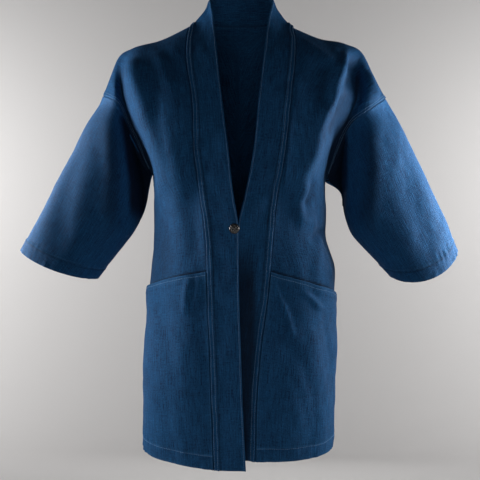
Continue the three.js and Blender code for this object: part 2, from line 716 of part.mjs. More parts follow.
function bandMesh() {
  const stations = bandStations();
  const seams = stations.map((station) => bandPoint(station, 'seam'));
  const edges = stations.map((station) => bandPoint(station, 'edge'));
  const outer = [];
  const inner = [];
  stations.forEach((station, k) => {
    const before = Math.max(0, k - 1);
    const after = Math.min(stations.length - 1, k + 1);
    const run = unit(minus(plus(seams[after], edges[after]), plus(seams[before], edges[before])));
    const across = unit(minus(edges[k], seams[k]));
    const normal = unit(cross(across, run));
    const width = distance(seams[k], edges[k]);
    const neckBend = station.side ? 1 - smooth(station.v / 0.1) : 1;
    const nearPoint = station.side ? neckBend : smooth((Math.abs(station.nape - 0.5) - 0.3) / 0.2);
    const start = (station.side ? seamGap : 0) + neckPointGap * nearPoint;
    const places = [start, ridgeWidth - 0.6, ridgeWidth + 0.6, width * 0.45, width * 0.75, width];
    const rows = places.map((place) => {
      const w = place / width;
      const bow = 4 * w * (1 - w) * mix(bandCrown, neckHollow[station.side ?? 'nape'], neckBend);
      return plus(plus(seams[k], scaled(across, place)), scaled(normal, bow));
    });
    const rise = places.map((place) => bandOutside + (place < ridgeWidth ? ridgeRise : 0));
    outer.push(rows.map((point, i) => plus(point, scaled(normal, rise[i]))));
    inner.push(rows.map((point) => plus(point, scaled(normal, -bandInside))));
  });
  return meshOf('neckband', shellGeometry(outer, inner), denim);
}

// Pocket: the front's own points, moved out, from its open mouth to the hem
function pocketMesh(side) {
  const surface = surfaces[`front_${side}`];
  const mouth = pocketMouth[`front_${side}`];
  const us = inset(frontUs, 0.004, 0.004);
  const lowerVs = levelVs.filter((v) => v > fullV(mouth.atSide) + 0.03);
  const outer = [];
  const inner = [];
  const rowCount = lowerVs.length + 2;
  for (let row = 0; row < rowCount; row += 1) {
    outer.push([]);
    inner.push([]);
    for (const u of us) {
      const down = mix(mouth.atBand, mouth.atSide, u) - mouth.sag * Math.sin(Math.PI * u);
      const v = row < 2 ? fullV(down + row * pocketHem) : lowerVs[row - 2];
      const share = (v * fullDrop - down) / (fullDrop - down);
      const atSide = u > 0.97;
      const normal = atSide ? sideNormal(side, v) : normalOf(surface, u, v, frontTurn[side]);
      const gape = pocketGape * Math.sin(Math.PI * u) * (1 - smooth(share / 0.3));
      const lift = cloth / 2 + pocketGap + gape;
      const thick = cloth + (row < 2 ? hemExtra : 0);
      const point = surface(u, v);
      inner.at(-1).push(plus(point, scaled(normal, lift)));
      outer.at(-1).push(plus(point, scaled(normal, lift + thick)));
    }
  }
  return meshOf(`pocket_${side}`, shellGeometry(outer, inner), denim);
}

// Button: a short shank under a low dome
function buttonMesh() {
  const outline = [
    [0, 0], [0.3, 0], [0.3, 0.29], [0.86, 0.31], [1, 0.49], [0.94, 0.71], [0.66, 0.91], [0.32, 0.985], [0, 1],
  ];
  const profile = outline.map(([r, h]) => new THREE.Vector2(r * buttonRadius, h * buttonHeight));
  const geometry = new THREE.LatheGeometry(profile, 20);
  const mesh = meshOf('button', geometry, buttonMaterial);
  const v = (neckHeight - buttonPlace.z) / fullDrop;
  const seam = toward(bandLine('right', 'seam', v), sideSign.right);
  const edge = toward(bandLine('right', 'edge', v), sideSign.right);
  const w = (buttonPlace.x - seam[0]) / (edge[0] - seam[0]);
  const surfaceY = mix(seam[1], edge[1], w) - bandOutside - buttonSeat;
  mesh.rotation.x = Math.PI;
  mesh.position.set(buttonPlace.x, surfaceY - seamGap, buttonPlace.z);
  return mesh;
}

const coat = new THREE.Group();
coat.add(
  backMesh(),
  frontMesh('right'),
  frontMesh('left'),
  bandMesh(),
  sleeveMesh('right'),
  sleeveMesh('left'),
  pocketMesh('right'),
  pocketMesh('left'),
  buttonMesh(),
);

export default coat;
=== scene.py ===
# A kimono coat in piece-dyed indigo denim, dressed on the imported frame.
# Tables are in millimetres: +Z up, the coat faces -Y, its right side is at -X.
import math

import bpy
import numpy as np
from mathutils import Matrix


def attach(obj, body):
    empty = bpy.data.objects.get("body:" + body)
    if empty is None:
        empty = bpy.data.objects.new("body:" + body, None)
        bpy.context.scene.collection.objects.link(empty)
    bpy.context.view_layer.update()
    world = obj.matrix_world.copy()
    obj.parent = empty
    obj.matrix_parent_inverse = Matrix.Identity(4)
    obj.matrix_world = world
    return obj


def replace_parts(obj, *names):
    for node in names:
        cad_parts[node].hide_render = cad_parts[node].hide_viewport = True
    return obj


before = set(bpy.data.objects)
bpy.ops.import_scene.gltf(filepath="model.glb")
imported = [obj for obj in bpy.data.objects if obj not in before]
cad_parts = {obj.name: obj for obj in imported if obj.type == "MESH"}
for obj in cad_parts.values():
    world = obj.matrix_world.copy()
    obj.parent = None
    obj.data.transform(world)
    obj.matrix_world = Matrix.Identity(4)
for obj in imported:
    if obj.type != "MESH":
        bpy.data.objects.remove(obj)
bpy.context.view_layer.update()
print("frame loaded")

# Sizes that the whole coat shares
coat = {
    "cloth": 1.6,
    "seamGap": 0.3,
    "hemDepth": 26,
    "hemStitch": 24.5,
    "hemExtra": 1.2,
    "fullDrop": 820,
    "underarmDrop": 295,
    "neckHeight": 5,
    "ringSquare": 2.5,
    "sleeveKeen": 0.4,
    "roundEdge": 0.9,
    "patternRound": 660,
}
millimetre = 0.001
sideSign = {"right": -1, "left": 1}
underarmV = coat["underarmDrop"] / coat["fullDrop"]


# Rows as dictionaries, with the names of the columns first
def table(names, *rows):
    return [dict(zip(names.split(), row)) for row in rows]


# Band: one row for each level down the front, with its seam on the front and its free edge
bandRows = {
    "right": table(
        "down seam edge",
        (0, (94, 10, 5), (55, 14, 58)),
        (18, (98, -14, -11), (50, -12, 24)),
        (42, (99, -42, -34), (46, -34, -10)),
        (88, (97, -78, -78), (40, -76, -68)),
        (162, (85, -116, -157), (31, -112, -150)),
        (255, (80.5, -133, -250), (18.5, -138, -250)),
        (343, (68, -141, -338), (8.3, -147, -338)),
        (382, (62.3, -143, -377), (1.6, -149, -377)),
        (445, (57.5, -144, -440), (0.2, -150, -440)),
        (520, (55.5, -144, -515), (-0.5, -150, -515)),
        (610, (51.5, -144, -605), (-3.5, -149, -605)),
        (700, (48.5, -142, -697), (-6.5, -147, -697)),
        (820, (44, -140, -817), (-12.5, -144, -818)),
    ),
    "left": table(
        "down seam edge",
        (0, (102, 10, 3), (65, 14, 58)),
        (18, (106, -14, -12), (58, -12, 22)),
        (42, (107, -43, -36), (53, -34, -12)),
        (88, (103.5, -78, -80), (46, -76, -68)),
        (162, (94, -114, -157), (36, -111, -150)),
        (255, (83.6, -131, -250), (26, -135, -249)),
        (343, (67.2, -138, -338), (8.4, -143, -338)),
        (382, (63, -139, -377), (-0.6, -144, -377)),
        (445, (58, -139.5, -440), (-5, -144.5, -440)),
        (520, (51, -139.5, -513), (-10, -144.5, -512)),
        (610, (39, -138, -602), (-20, -136, -600)),
        (700, (32, -135, -690), (-27, -124, -688)),
        (820, (30, -129, -805), (-29, -107, -802)),
    ),
}
bandNape = {
    "centre": dict(seam=(0, 72, 8), edge=(0, 57, 72)),
    "side": dict(seam=(58, 57, 7), edge=(40, 45, 69)),
}

# Fronts above the underarm: the places where the cloth turns, as (out, y, up)
frontRows = {
    "right": table(
        "down breast brow crease cap arm",
        (0, (150, 6, -24), (204, 3, -40), (232, 1, -58), (247, 2, -94), (262, 4, -130)),
        (45, (151, -60, -56), (206, -56, -76), (225, -26, -98), (236, -38, -118), (243, -32, -141)),
        (105, (148, -106, -107), (203, -88, -118), (220, -34, -134), (224, -38, -145), (227, -44, -154)),
        (170, (140, -127, -170), (190, -98, -174), (204, -34, -180), (207, -30, -185), (211, -34, -191)),
        (237, (129, -136, -232), (164, -106, -232), (179, -34, -233), (182, -24, -237), (187, -20, -241)),
        (295, (116, -137, -290), (145, -104, -288), (159, -50, -286), (163, -22, -284), (166, 4, -283)),
    ),
    "left": table(
        "down breast brow crease cap arm",
        (0, (156, 6, -21), (206, 3, -32), (238, 1, -50), (258, 3, -90), (283, 4, -135)),
        (45, (156, -60, -56), (206, -51, -71), (230, -27, -95), (247, -42, -125), (262, -29, -151)),
        (105, (151, -104, -108), (199, -82, -116), (222, -37, -140), (231, -44, -156), (239, -43, -169)),
        (170, (142, -125, -170), (185, -94, -174), (204, -34, -182), (207, -28, -186), (211, -27, -192)),
        (237, (131, -134, -232), (161, -104, -233), (176, -32, -238), (180, -18, -240), (186, -9, -244)),
        (295, (117, -134, -292), (146, -102, -293), (160, -46, -294), (164, -20, -295), (166, 4, -296)),
    ),
}
# Back above the underarm, from its middle outwards
backRows = table(
    "down centre nape neck breast brow crease cap",
    (0, (0, 72, 8), (58, 57, 7)),
    (
        45, (0, 86, -36), (50, 83, -36), (98, 66, -38), (151, 58, -56),
        (206, 50, -76), (228, 26, -98), (243, 38, -120),
    ),
    (
        105, (0, 98, -96), (50, 99, -96), (99, 96, -98), (150, 92, -108),
        (203, 76, -118), (223, 32, -136), (230, 36, -150),
    ),
    (
        170, (0, 106, -162), (50, 108, -162), (98, 107, -164),
        (147, 101, -168), (190, 80, -174), (207, 32, -181), (211, 32, -186),
    ),
    (
        237, (0, 109, -228), (50, 111, -228), (94, 108, -230),
        (136, 96, -231), (167, 72, -233), (181, 30, -236), (185, 26, -239),
    ),
    (
        295, (0, 109, -286), (46, 110, -286), (88, 105, -287),
        (123, 89, -288), (147, 66, -288), (159, 34, -287), (164, 17, -286),
    ),
)
backArm = {
    "right": [
        (262, 4, -130), (253, 32, -141), (240, 44, -156), (219, 40, -194), (193, 28, -243), (166, 4, -283),
    ],
    "left": [
        (283, 4, -135), (268, 32, -152), (250, 46, -170), (224, 42, -204), (194, 28, -250), (166, 4, -296),
    ],
}
# Body below the underarm: a row for each ring of cloth
rings = table(
    "down right left fore back sideUp",
    (355, 161.5, 166, 146, 107, 4),
    (415, 162, 166, 149, 106, 3),
    (465, 165.5, 181, 150, 108, 3),
    (525, 171.5, 181.5, 150, 111, 4),
    (605, 176.5, 182.5, 149, 114, 6),
    (705, 179.5, 182, 147, 117, 8),
    (820, 181.5, 176.5, 144, 119, 17),
)
# Sleeves: a row for each ring of cloth from the armhole to the cuff
sleeveRows = {
    "right": table(
        "along top under fore back tilt",
        (0.22, (292, 2, -184), (176, 4, -316), 52, 46, 0.1),
        (0.42, (324, -2, -247), (182, 0, -350), 50, 46, 0.15),
        (0.62, (357, -6, -312), (199, -4, -388), 47, 44, 0.2),
        (0.82, (389, -10, -376), (231, -8, -431), 44, 42, 0.28),
        (1, (417, -13, -430), (271, -11, -482), 43, 41, 0.26),
    ),
    "left": table(
        "along top under fore back tilt",
        (0.22, (312, 3, -188), (197, 2, -318), 50, 46, 0.1),
        (0.42, (342, 0, -250), (203, -3, -358), 52, 47, 0.2),
        (0.62, (371, -4, -314), (217, -7, -398), 52, 48, 0.35),
        (0.82, (399, -8, -379), (250, -11, -434), 52, 50, 0.5),
        (1, (418, -12, -431), (286, -13, -472), 53, 51, 0.6),
    ),
}
stations = {
    "front": ["neck", "breast", "brow", "crease", "cap", "arm"],
    "back": ["centre", "nape", "neck", "breast", "brow", "crease", "cap", "arm"],
}
shares = {
    "front": [0, 0.28, 0.56, 0.74, 0.87, 1],
    "back": [0, 0.16, 0.32, 0.5, 0.68, 0.8, 0.9, 1],
}

# Folds seen from the front or the back: a line from start to end (x, z), its width and its height.
# A ridge stands out, a trough is negative, and steep scales the width of the flank at +X.
foldColumns = "start end width height steep"
folds = {
    "front_right": table(
        foldColumns,
        ((-198, -78), (-160, -215), 15, 9),
        ((-160, -215), (-136, -330), 17, 6),
        ((-172, -50), (-134, -165), 17, -4),
        ((-146, -48), (-108, -120), 13, -4),
        ((-102, -130), (-106, -390), 34, 7),
        ((-80, -300), (-84, -455), 18, -3),
        ((-150, -330), (-120, -640), 26, -5),
        ((-92, -500), (-84, -800), 30, 5),
        ((-140, -560), (-150, -800), 26, 4),
    ),
    "front_left": table(
        foldColumns,
        ((206, -50), (176, -132), 8, 7),
        ((176, -132), (139, -226), 9, 8),
        ((143, -226), (120, -300), 12, 7),
        ((120, -300), (104, -372), 12, 9, 0.8),
        ((104, -372), (140, -380), 13, 6),
        ((224, -62), (204, -136), 13, -13),
        ((204, -136), (168, -220), 12, -12),
        ((231, -58), (226, -150), 5, -5),
        ((254, -84), (262, -150), 13, 9),
        ((158, -84), (146, -170), 15, -6),
        ((104, -175), (96, -330), 30, 7),
        ((136, -300), (118, -352), 12, -7),
        ((164, -386), (128, -408), 9, -6),
        ((138, -400), (142, -505), 11, 5),
        ((78, -480), (96, -640), 24, -5),
        ((120, -560), (140, -800), 26, 5),
    ),
    "back": table(
        foldColumns,
        ((-150, -70), (-120, -250), 20, -6),
        ((158, -80), (118, -270), 20, -6),
        ((-196, -84), (-158, -260), 15, 7),
        ((200, -84), (158, -255), 15, 8),
        ((-70, -260), (-92, -790), 34, 7),
        ((-20, -330), (-28, -800), 30, -7),
        ((48, -290), (52, -800), 32, 8),
        ((104, -420), (118, -800), 30, -6),
        ((-130, -430), (-140, -800), 24, -4),
    ),
    "sleeve_right": table(
        foldColumns,
        ((-249, -124), (-250, -266), 7, 13, 1.3),
        ((-230, -130), (-222, -400), 13, -11),
        ((-210, -200), (-204, -330), 12, -5),
        ((-196, -330), (-250, -458), 13, 6),
        ((-190, -305), (-176, -345), 8, 5),
        ((-300, -230), (-345, -440), 30, -3),
        ((-330, -290), (-385, -430), 24, 4),
    ),
    "sleeve_left": table(
        foldColumns,
        ((276, -165), (342, -320), 20, 6),
        ((342, -320), (395, -455), 20, 5),
        ((213, -182), (211, -385), 9, 5, 1.8),
        ((246, -220), (262, -430), 22, -6),
        ((300, -300), (336, -450), 18, -3),
    ),
    "sleeve_rear_right": table(
        foldColumns,
        ((-240, -180), (-235, -400), 20, -6),
        ((-300, -220), (-350, -440), 24, 5),
    ),
    "sleeve_rear_left": table(
        foldColumns,
        ((250, -190), (245, -400), 20, -6),
        ((310, -230), (350, -440), 24, 5),
    ),
    "pocket_right": table(
        foldColumns,
        ((-86, -478), (-96, -540), 7, 5),
        ((-70, -474), (-76, -526), 5, 3.2),
    ),
    "pocket_left": table(
        foldColumns,
        ((62, -482), (76, -520), 6, 4.5, 0.7),
        ((74, -512), (98, -582), 8, 5.5, 0.7),
        ((112, -500), (146, -534), 6, 4.5),
    ),
}


# Small maths
def mix(a, b, t):
    return a + (b - a) * t


def smooth(x):
    t = np.clip(x, 0, 1)
    return t * t * (3 - 2 * t)


# A soft hump along a line: 1 on it, and almost nothing at twice its width
def hump(offset, width):
    return np.exp(-((offset / width) ** 2))


def unit(a):
    return a / (np.linalg.norm(a, axis=-1, keepdims=True) + 1e-9)


# One place on each of many smooth curves through points at the same knots
def curve(knots, points, places, corner=None, sharp=0.0):
    knots = np.asarray(knots, float)
    places = np.asarray(places, float).ravel()
    points = np.asarray(points, float)
    if points.ndim == 2:
        points = np.broadcast_to(points[:, None, :], (len(knots), places.size, 3))
    gaps = np.diff(knots)[:, None, None]
    steps = np.diff(points, axis=0) / gaps
    share = gaps[:-1] / (gaps[:-1] + gaps[1:])
    inner = mix(steps[:-1], steps[1:], share)
    slopes = np.concatenate([steps[:1], inner, steps[-1:]])
    k = np.clip(np.searchsorted(knots, places) - 1, 0, len(knots) - 2)
    each = np.arange(places.size)
    own = steps[k, each]
    first = slopes[k, each]
    last = slopes[k + 1, each]
    if corner is not None:
        first = mix(first, own, ((k == corner) * sharp)[:, None])
        last = mix(last, own, ((k + 1 == corner) * sharp)[:, None])
    h = (knots[k + 1] - knots[k])[:, None]
    t = (places[:, None] - knots[k][:, None]) / h
    t2 = t * t
    t3 = t2 * t
    start = (2 * t3 - 3 * t2 + 1) * points[k, each] + (t3 - 2 * t2 + t) * h * first
    end = (3 * t2 - 2 * t3) * points[k + 1, each] + (t3 - t2) * h * last
    return start + end


def levelOf(row):
    return row["down"] / coat["fullDrop"]


def bandLine(side, line, v):
    rows = bandRows[side]
    knots = [-0.035] + [levelOf(row) for row in rows]
    points = [bandNape["side"][line]] + [row[line] for row in rows]
    return curve(knots, points, v)


# A place on a ring of the body, at a share of the way from the middle to the side seam
def ringPoint(ring, side, panel, share):
    half = ring[side]
    depth = ring["back"] if panel == "back" else ring["fore"]
    sign = 1 if panel == "back" else -1
    seam = bandLine(side, "seam", [levelOf(ring)])[0]
    startX = 0 if panel == "back" else seam[0]
    power = coat["ringSquare"]
    angles = np.linspace(math.asin((startX / half) ** (power / 2)), math.pi / 2, 41)
    x = half * np.sin(angles) ** (2 / power)
    y = sign * depth * np.maximum(0, np.cos(angles)) ** (2 / power) + 4 * np.sin(angles) ** 4
    lengths = np.concatenate([[0], np.cumsum(np.hypot(np.diff(x), np.diff(y)))])
    target = share * lengths[-1]
    middleZ = coat["neckHeight"] - ring["down"] + ring["sideUp"] * 0.6
    low = middleZ if panel == "back" else seam[2]
    sideZ = coat["neckHeight"] - ring["down"] + ring["sideUp"]
    return (np.interp(target, lengths, x), np.interp(target, lengths, y), mix(low, sideZ, share**0.75))


upperKnots = [levelOf(row) for row in frontRows["right"]]
levelKnots = upperKnots + [levelOf(ring) for ring in rings]


# The line where a panel ends: the armhole above the underarm, the side seam below it
def armLine(side, panel, v):
    fronts = frontRows[side]
    upper = backArm[side] if panel == "back" else [row["arm"] for row in fronts]
    lowerKnots = [underarmV] + [levelOf(ring) for ring in rings]
    lower = [fronts[-1]["arm"]] + [ringPoint(ring, side, "front", 1) for ring in rings]
    above = curve(upperKnots, upper, v)
    below = curve(lowerKnots, lower, v)
    return np.where((v <= underarmV)[:, None], above, below)


# One lengthwise line of a panel, carried on over the shoulder into the other panel
def stationLine(side, panel, station, index, v):
    if station == "arm":
        return armLine(side, panel, v)
    if station == "neck" and panel == "front":
        return bandLine(side, "seam", v)
    fronts = frontRows[side]
    own = backRows if panel == "back" else fronts
    lower = [ringPoint(ring, side, panel, shares[panel][index]) for ring in rings]
    first = own[0].get(station)
    if station == "neck":
        first = bandRows[side][0]["seam"]
    shoulder = first or fronts[0][station]
    knots = list(levelKnots)
    points = [shoulder] + [row[station] for row in own[1:]] + lower
    if station not in ("neck", "centre", "nape"):
        other = fronts if panel == "back" else backRows
        knots = [-levelKnots[1]] + knots
        points = [other[1][station]] + points
    return curve(knots, points, v)


def panelPoints(side, panel, u, v):
    flatU = u.ravel()
    flatV = v.ravel()
    lines = [stationLine(side, panel, name, index, flatV) for index, name in enumerate(stations[panel])]
    corner = stations[panel].index("neck") if panel == "back" else None
    sharp = np.clip(1 - flatV / 0.07, 0, 1)
    points = curve(shares[panel], np.stack(lines), flatU, corner, sharp)
    points[:, 0] *= sideSign[side]
    return points.reshape(u.shape + (3,))


def gridNormals(points, turn):
    across = np.gradient(points, axis=1)
    along = np.gradient(points, axis=0)
    return unit(np.cross(across, along)) * turn


foldLook = {"fade": 0.15, "fadeLength": 0.4, "sway": 0.14, "swayRate": 7}


def foldHeights(rows, points):
    look = foldLook
    total = np.zeros(points.shape[:2])
    for fold in rows:
        start = np.array(fold["start"], float)
        run = np.array(fold["end"], float) - start
        length = np.hypot(*run)
        dx = points[..., 0] - start[0]
        dz = points[..., 2] - start[1]
        along = (dx * run[0] + dz * run[1]) / length**2
        off = (dx * run[1] - dz * run[0]) / length
        off = off + look["sway"] * fold["width"] * np.sin(look["swayRate"] * along + start[0])
        onSteepFlank = off * np.sign(run[1]) > 0
        width = np.where(onSteepFlank, fold["width"] * fold.get("steep", 1), fold["width"])
        ends = smooth((along + look["fade"]) / look["fadeLength"])
        ends = ends * smooth((1 + look["fade"] - along) / look["fadeLength"])
        total += fold["height"] * ends * hump(off, width)
    return total


# A gentle unevenness of the cloth: many waves in all directions, the same on each run
def ripple(a, b, size, seed, stretch=1.0):
    chance = np.random.default_rng(seed)
    total = np.zeros(np.shape(a))
    waves = 16
    for _ in range(waves):
        angle = chance.uniform(0, 2 * math.pi)
        rate = 2 * math.pi * chance.uniform(0.6, 1.6) / size
        phase = chance.uniform(0, 2 * math.pi)
        total += np.cos(rate * (a * math.cos(angle) + b * math.sin(angle) / stretch) + phase)
    return total / math.sqrt(waves / 2)


# Puckers along a line of stitches, at a distance from it, with the way along it
def pucker(distance, along, seed, wave=13, reach=9, height=0.45):
    shift = ripple(along, along * 0, 60, seed)
    strength = 0.6 + 0.4 * ripple(along, along * 0, 90, seed + 1)
    return height * strength * hump(distance, reach) * np.sin(2 * math.pi * along / wave + 1.5 * shift)


# The cloth's own looseness: large soft swells and small crumples
def looseHeights(spot, up, look, seed):
    swells = ripple(spot, up, look["unevenSize"], seed, look["unevenStretch"])
    crumples = ripple(spot, up, look["crumpleSize"], seed + look["crumpleSeed"], look["crumpleStretch"])
    return swells * look["uneven"] + crumples * look["crumple"]


# The hollow under the arm: inside its edge, from top to low, the front of the sleeve falls towards its back.
# Shade widens that edge, in millimetres, for the shade painted into the sleeve there
armHollows = {
    "right": dict(top=(216, -166), low=(197, -302), soft=13, depth=0.72, shade=17),
    "left": dict(top=(208, -182), low=(206, -380), soft=9, depth=0.85, shade=2),
}


# How far a place lies in the hollow under the arm, from 0 to 1
def armHollow(side, place, turns, wider=0):
    hollow = armHollows[side]
    fall = (hollow["top"][1] - place[..., 2]) / (hollow["top"][1] - hollow["low"][1])
    edge = mix(hollow["top"][0], hollow["low"][0], np.clip(fall, 0, 1)) + wider
    inward = smooth((edge - sideSign[side] * place[..., 0]) / hollow["soft"])
    return inward * smooth(fall / 0.2 + 0.2) * ((turns % 1) < 0.5)


# Cloth rubbed pale over the ridge that a stitched hem makes
def hemWear(distance):
    return 2.3 * hump(distance - coat["hemDepth"] - 0.4, 1.2)


# How far the inner face stands from the middle of the cloth, more where the hem is doubled
def hemInside(distance):
    return coat["cloth"] / 2 + coat["hemExtra"] * smooth((coat["hemDepth"] + 3 - distance) / 6)


# How far a cloth stands at a distance from its own edge, so that each edge is rounded
def roundedEdge(distance):
    t = np.clip(distance / coat["roundEdge"], 0, 1)
    return 0.25 + 0.75 * np.sqrt(1 - (1 - t) ** 2)


# Places from start to end of a length, closer together near both ends
def edgedPlaces(length, count, start, end):
    fine = np.array([0, 0.25, 0.6, 1.0]) / length
    inner = np.linspace(start + 2.2 / length, end - 2.2 / length, count)
    return np.concatenate([start + fine, inner, (end - fine)[::-1]])


def arcLengths(points, axis):
    steps = np.linalg.norm(np.diff(points, axis=axis), axis=2)
    zero = np.zeros_like(np.take(steps, [0], axis=axis))
    return np.cumsum(np.concatenate([zero, steps], axis=axis), axis=axis)


def smoothMesh(name, vertices, faces):
    mesh = bpy.data.meshes.new(name)
    mesh.from_pydata(vertices, [], faces)
    mesh.polygons.foreach_set("use_smooth", [True] * len(mesh.polygons))
    mesh.update()
    return mesh


# Puts a piece in the scene, on the coat's one body
def dressed(name, mesh, material):
    piece = bpy.data.objects.new(name, mesh)
    bpy.context.scene.collection.objects.link(piece)
    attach(piece, "root")
    piece.data.materials.append(material)
    return piece


# A closed mesh from the middle of the cloth, its normals and how far each face stands from it
def clothMesh(name, sheet):
    rows, columns = sheet["points"].shape[:2]
    sheet["outer"] = sheet["points"] + sheet["normals"] * sheet["outside"][..., None]
    inner = sheet["points"] - sheet["normals"] * sheet["inside"][..., None]
    vertices = np.concatenate([sheet["outer"].reshape(-1, 3), inner.reshape(-1, 3)]) * millimetre
    layer = rows * columns
    index = np.arange(layer).reshape(rows, columns)
    a = index[:-1, :-1].ravel()
    b = index[:-1, 1:].ravel()
    c = index[1:, 1:].ravel()
    d = index[1:, :-1].ravel()
    faces = [np.stack([a, b, c, d], 1), np.stack([a, d, c, b], 1) + layer]
    for line in (index[0], index[:, -1], index[-1, ::-1], index[::-1, 0]):
        faces.append(np.stack([line[:-1], line[:-1] + layer, line[1:] + layer, line[1:]], 1))
    faces = np.concatenate(faces)
    corners = vertices[faces]
    volume = 0
    for k in (1, 2):
        volume += np.einsum("ij,ij->i", corners[:, 0], np.cross(corners[:, k], corners[:, k + 1])).sum()
    if volume < 0:
        faces = faces[:, ::-1]
    mesh = smoothMesh(name, vertices.tolist(), faces.tolist())
    pattern = np.concatenate([sheet["pattern"].reshape(-1, 2)] * 2)
    mesh.uv_layers.new(name="pattern").data.foreach_set("uv", pattern[faces.ravel()].ravel())
    # wear marks rubbed edges and hems; the second attribute marks where shade is painted into the colour
    for key in ("wear", "paintedShade"):
        values = sheet.get(key, np.zeros((rows, columns)))
        mesh.attributes.new(key, "FLOAT", "POINT").data.foreach_set("value", np.tile(values.ravel(), 2))
    return dressed(name, mesh, denimMaterial)


# Body panels
pocketMouths = {
    "right": dict(atBand=470, atSide=513, sag=1),
    "left": dict(atBand=471, atSide=526, sag=-3),
}
# The long crease in front of each armhole, as a share of the way across, and the painted shade beside it
creases = {
    "front_right": dict(at=0.74, reach=0.14, shade=0.5),
    "front_left": dict(at=0.74, reach=0.18, shade=0.35),
    "back": dict(at=0.8, reach=0.14, shade=0.5),
}
panelLook = {
    "across": {"front": 210, "back": 330},
    "columns": {"front": 86, "back": 78},
    "rows": 262,
    "trim": 0.0008,
    "topTrim": 0.0003,
    "uneven": 0.9,
    "unevenSize": 95,
    "unevenStretch": 2.2,
    "crumple": 0.3,
    "crumpleSize": 34,
    "crumpleStretch": 1.8,
    "crumpleSeed": 5,
    "allowance": 7.5,
    "allowanceRise": 0.7,
    "stitchDip": 0.6,
    "wearReach": 2.5,
    "troughShade": 0.4,
    "lineShade": 0.9,
    "underArmShade": 0.9,
    "bandShade": 0.6,
    "mouthShade": 0.95,
}


def mouthDown(side, u):
    mouth = pocketMouths[side]
    return mix(mouth["atBand"], mouth["atSide"], u) - mouth["sag"] * np.sin(math.pi * u)


# Painted shade: the colour darkens where shade falls, in troughs and creases, under the arm, beside the band,
# and as a painted shadow under the lip of a pocket
def panelShade(side, name, u, v, folded, fromBand):
    look = panelLook
    crease = creases[name]
    fromCrease = u - crease["at"]
    above = underarmV - v
    flank = smooth((fromCrease + crease["reach"]) / 0.07) * smooth((0.02 - fromCrease) / 0.02)
    flank = flank * smooth((v - 0.03) / 0.05) * smooth(above / 0.05)
    line = hump(fromCrease, 0.02) * smooth((v - 0.02) / 0.04) * smooth(above / 0.04)
    underArm = smooth((u - 0.62) / 0.1) * smooth((v - 0.14) / 0.08) * smooth((above + 0.02) / 0.04)
    shades = [
        look["troughShade"] * smooth(-folded / 8),
        crease["shade"] * flank,
        look["lineShade"] * line,
        look["underArmShade"] * underArm,
    ]
    if name != "back":
        shades.append(look["bandShade"] * hump(fromBand, 2.2))
        shades.append(look["mouthShade"] * hump(mouthDown(side, u) - v * coat["fullDrop"] - 1.4, 2.4))
    return np.maximum.reduce(shades)


def panelSheet(side, panel, seed):
    look = panelLook
    isFront = panel == "front"
    name = "front_" + side if isFront else "back"
    start = look["trim"] if isFront else 0
    us = edgedPlaces(look["across"][panel], look["columns"][panel], start, 1 - look["trim"])
    if not isFront:
        us = np.concatenate([[0], us[us > 0.012]])
    vs = edgedPlaces(coat["fullDrop"], look["rows"], look["topTrim"], 1)
    u, v = np.meshgrid(us, vs)
    base = panelPoints(side, panel, u, v)
    turn = 1 if (side == "right") == isFront else -1
    normals = gridNormals(base, turn)
    shown = smooth(normals[..., 1] * (-1 if isFront else 1) / 0.5)
    across = arcLengths(base, 1)
    fromArm = across[:, -1:] - across
    down = arcLengths(base, 0)
    fromHem = down[-1:] - down
    folded = foldHeights(folds[name], base) * shown
    seamFade = smooth((1 - u) / 0.08) * smooth(v / 0.05)
    calm = smooth(fromArm / 30) * smooth(v / 0.03) * smooth(fromHem / 30 + 0.35)
    if isFront:
        seamFade = seamFade * smooth(u / 0.08)
        calm = calm * smooth(across / 30)
    spot = base[..., 0] + base[..., 1] * 0.7
    height = folded * seamFade + looseHeights(spot, base[..., 2], look, seed) * calm
    onArmhole = smooth((underarmV - v) / 0.01)
    height += pucker(fromArm - 5, down, seed + 11) * mix(0.8, 1.0, onArmhole)
    height += pucker(fromHem - coat["hemDepth"], across, seed + 12, wave=15, reach=10, height=0.5)
    height += pucker(fromHem, across, seed + 13, wave=34, reach=14, height=0.9)
    edge = np.minimum(fromArm, np.minimum(down, fromHem))
    if isFront:
        height += pucker(across - 2, down, seed + 14, wave=12, reach=8, height=0.4)
        edge = np.minimum(edge, across)
    height += look["allowanceRise"] * onArmhole * (1 - smooth((fromArm - look["allowance"]) / 1.6))
    height -= look["stitchDip"] * hump(fromHem - coat["hemStitch"], 2.0)
    points = base + normals * height[..., None]
    return {
        "us": us,
        "vs": vs,
        "points": points,
        "normals": gridNormals(points, turn),
        "outside": coat["cloth"] / 2 * roundedEdge(edge),
        "inside": hemInside(fromHem) * roundedEdge(edge),
        "pattern": np.stack([fromArm, down], 2),
        "fromArm": fromArm,
        "fromHem": fromHem,
        "down": down,
        "wear": np.exp(-(edge / look["wearReach"])) + hemWear(fromHem),
        "paintedShade": panelShade(side, name, u, v, folded, across),
    }


# Joins the two halves of the back at its middle into one sheet
def joinHalves(right, left):
    joined = {}
    for key in ("points", "normals", "outside", "inside", "pattern", "fromHem", "wear", "paintedShade"):
        joined[key] = np.concatenate([right[key][:, :0:-1], left[key]], axis=1)
    half = right["points"].shape[1] - 1
    joined["pattern"][:, :half, 0] = coat["patternRound"] - joined["pattern"][:, :half, 0]
    return joined


# Sleeves
sleeveLook = {
    "round": {"length": 700, "count": 226, "start": 0.5002, "end": 1.4998},
    "along": {"length": 330, "count": 124, "start": 0.0045, "end": 1},
    "underGap": 0.6,
    "rearShare": 0.9,
    "uneven": 0.4,
    "unevenSize": 80,
    "unevenStretch": 1.6,
    "crumple": 0.12,
    "crumpleSize": 30,
    "crumpleStretch": 1.5,
    "crumpleSeed": 3,
    "stitchDip": 0.6,
    "wearReach": 2.5,
    "troughShade": 0.8,
    "stitchShade": 0.5,
}


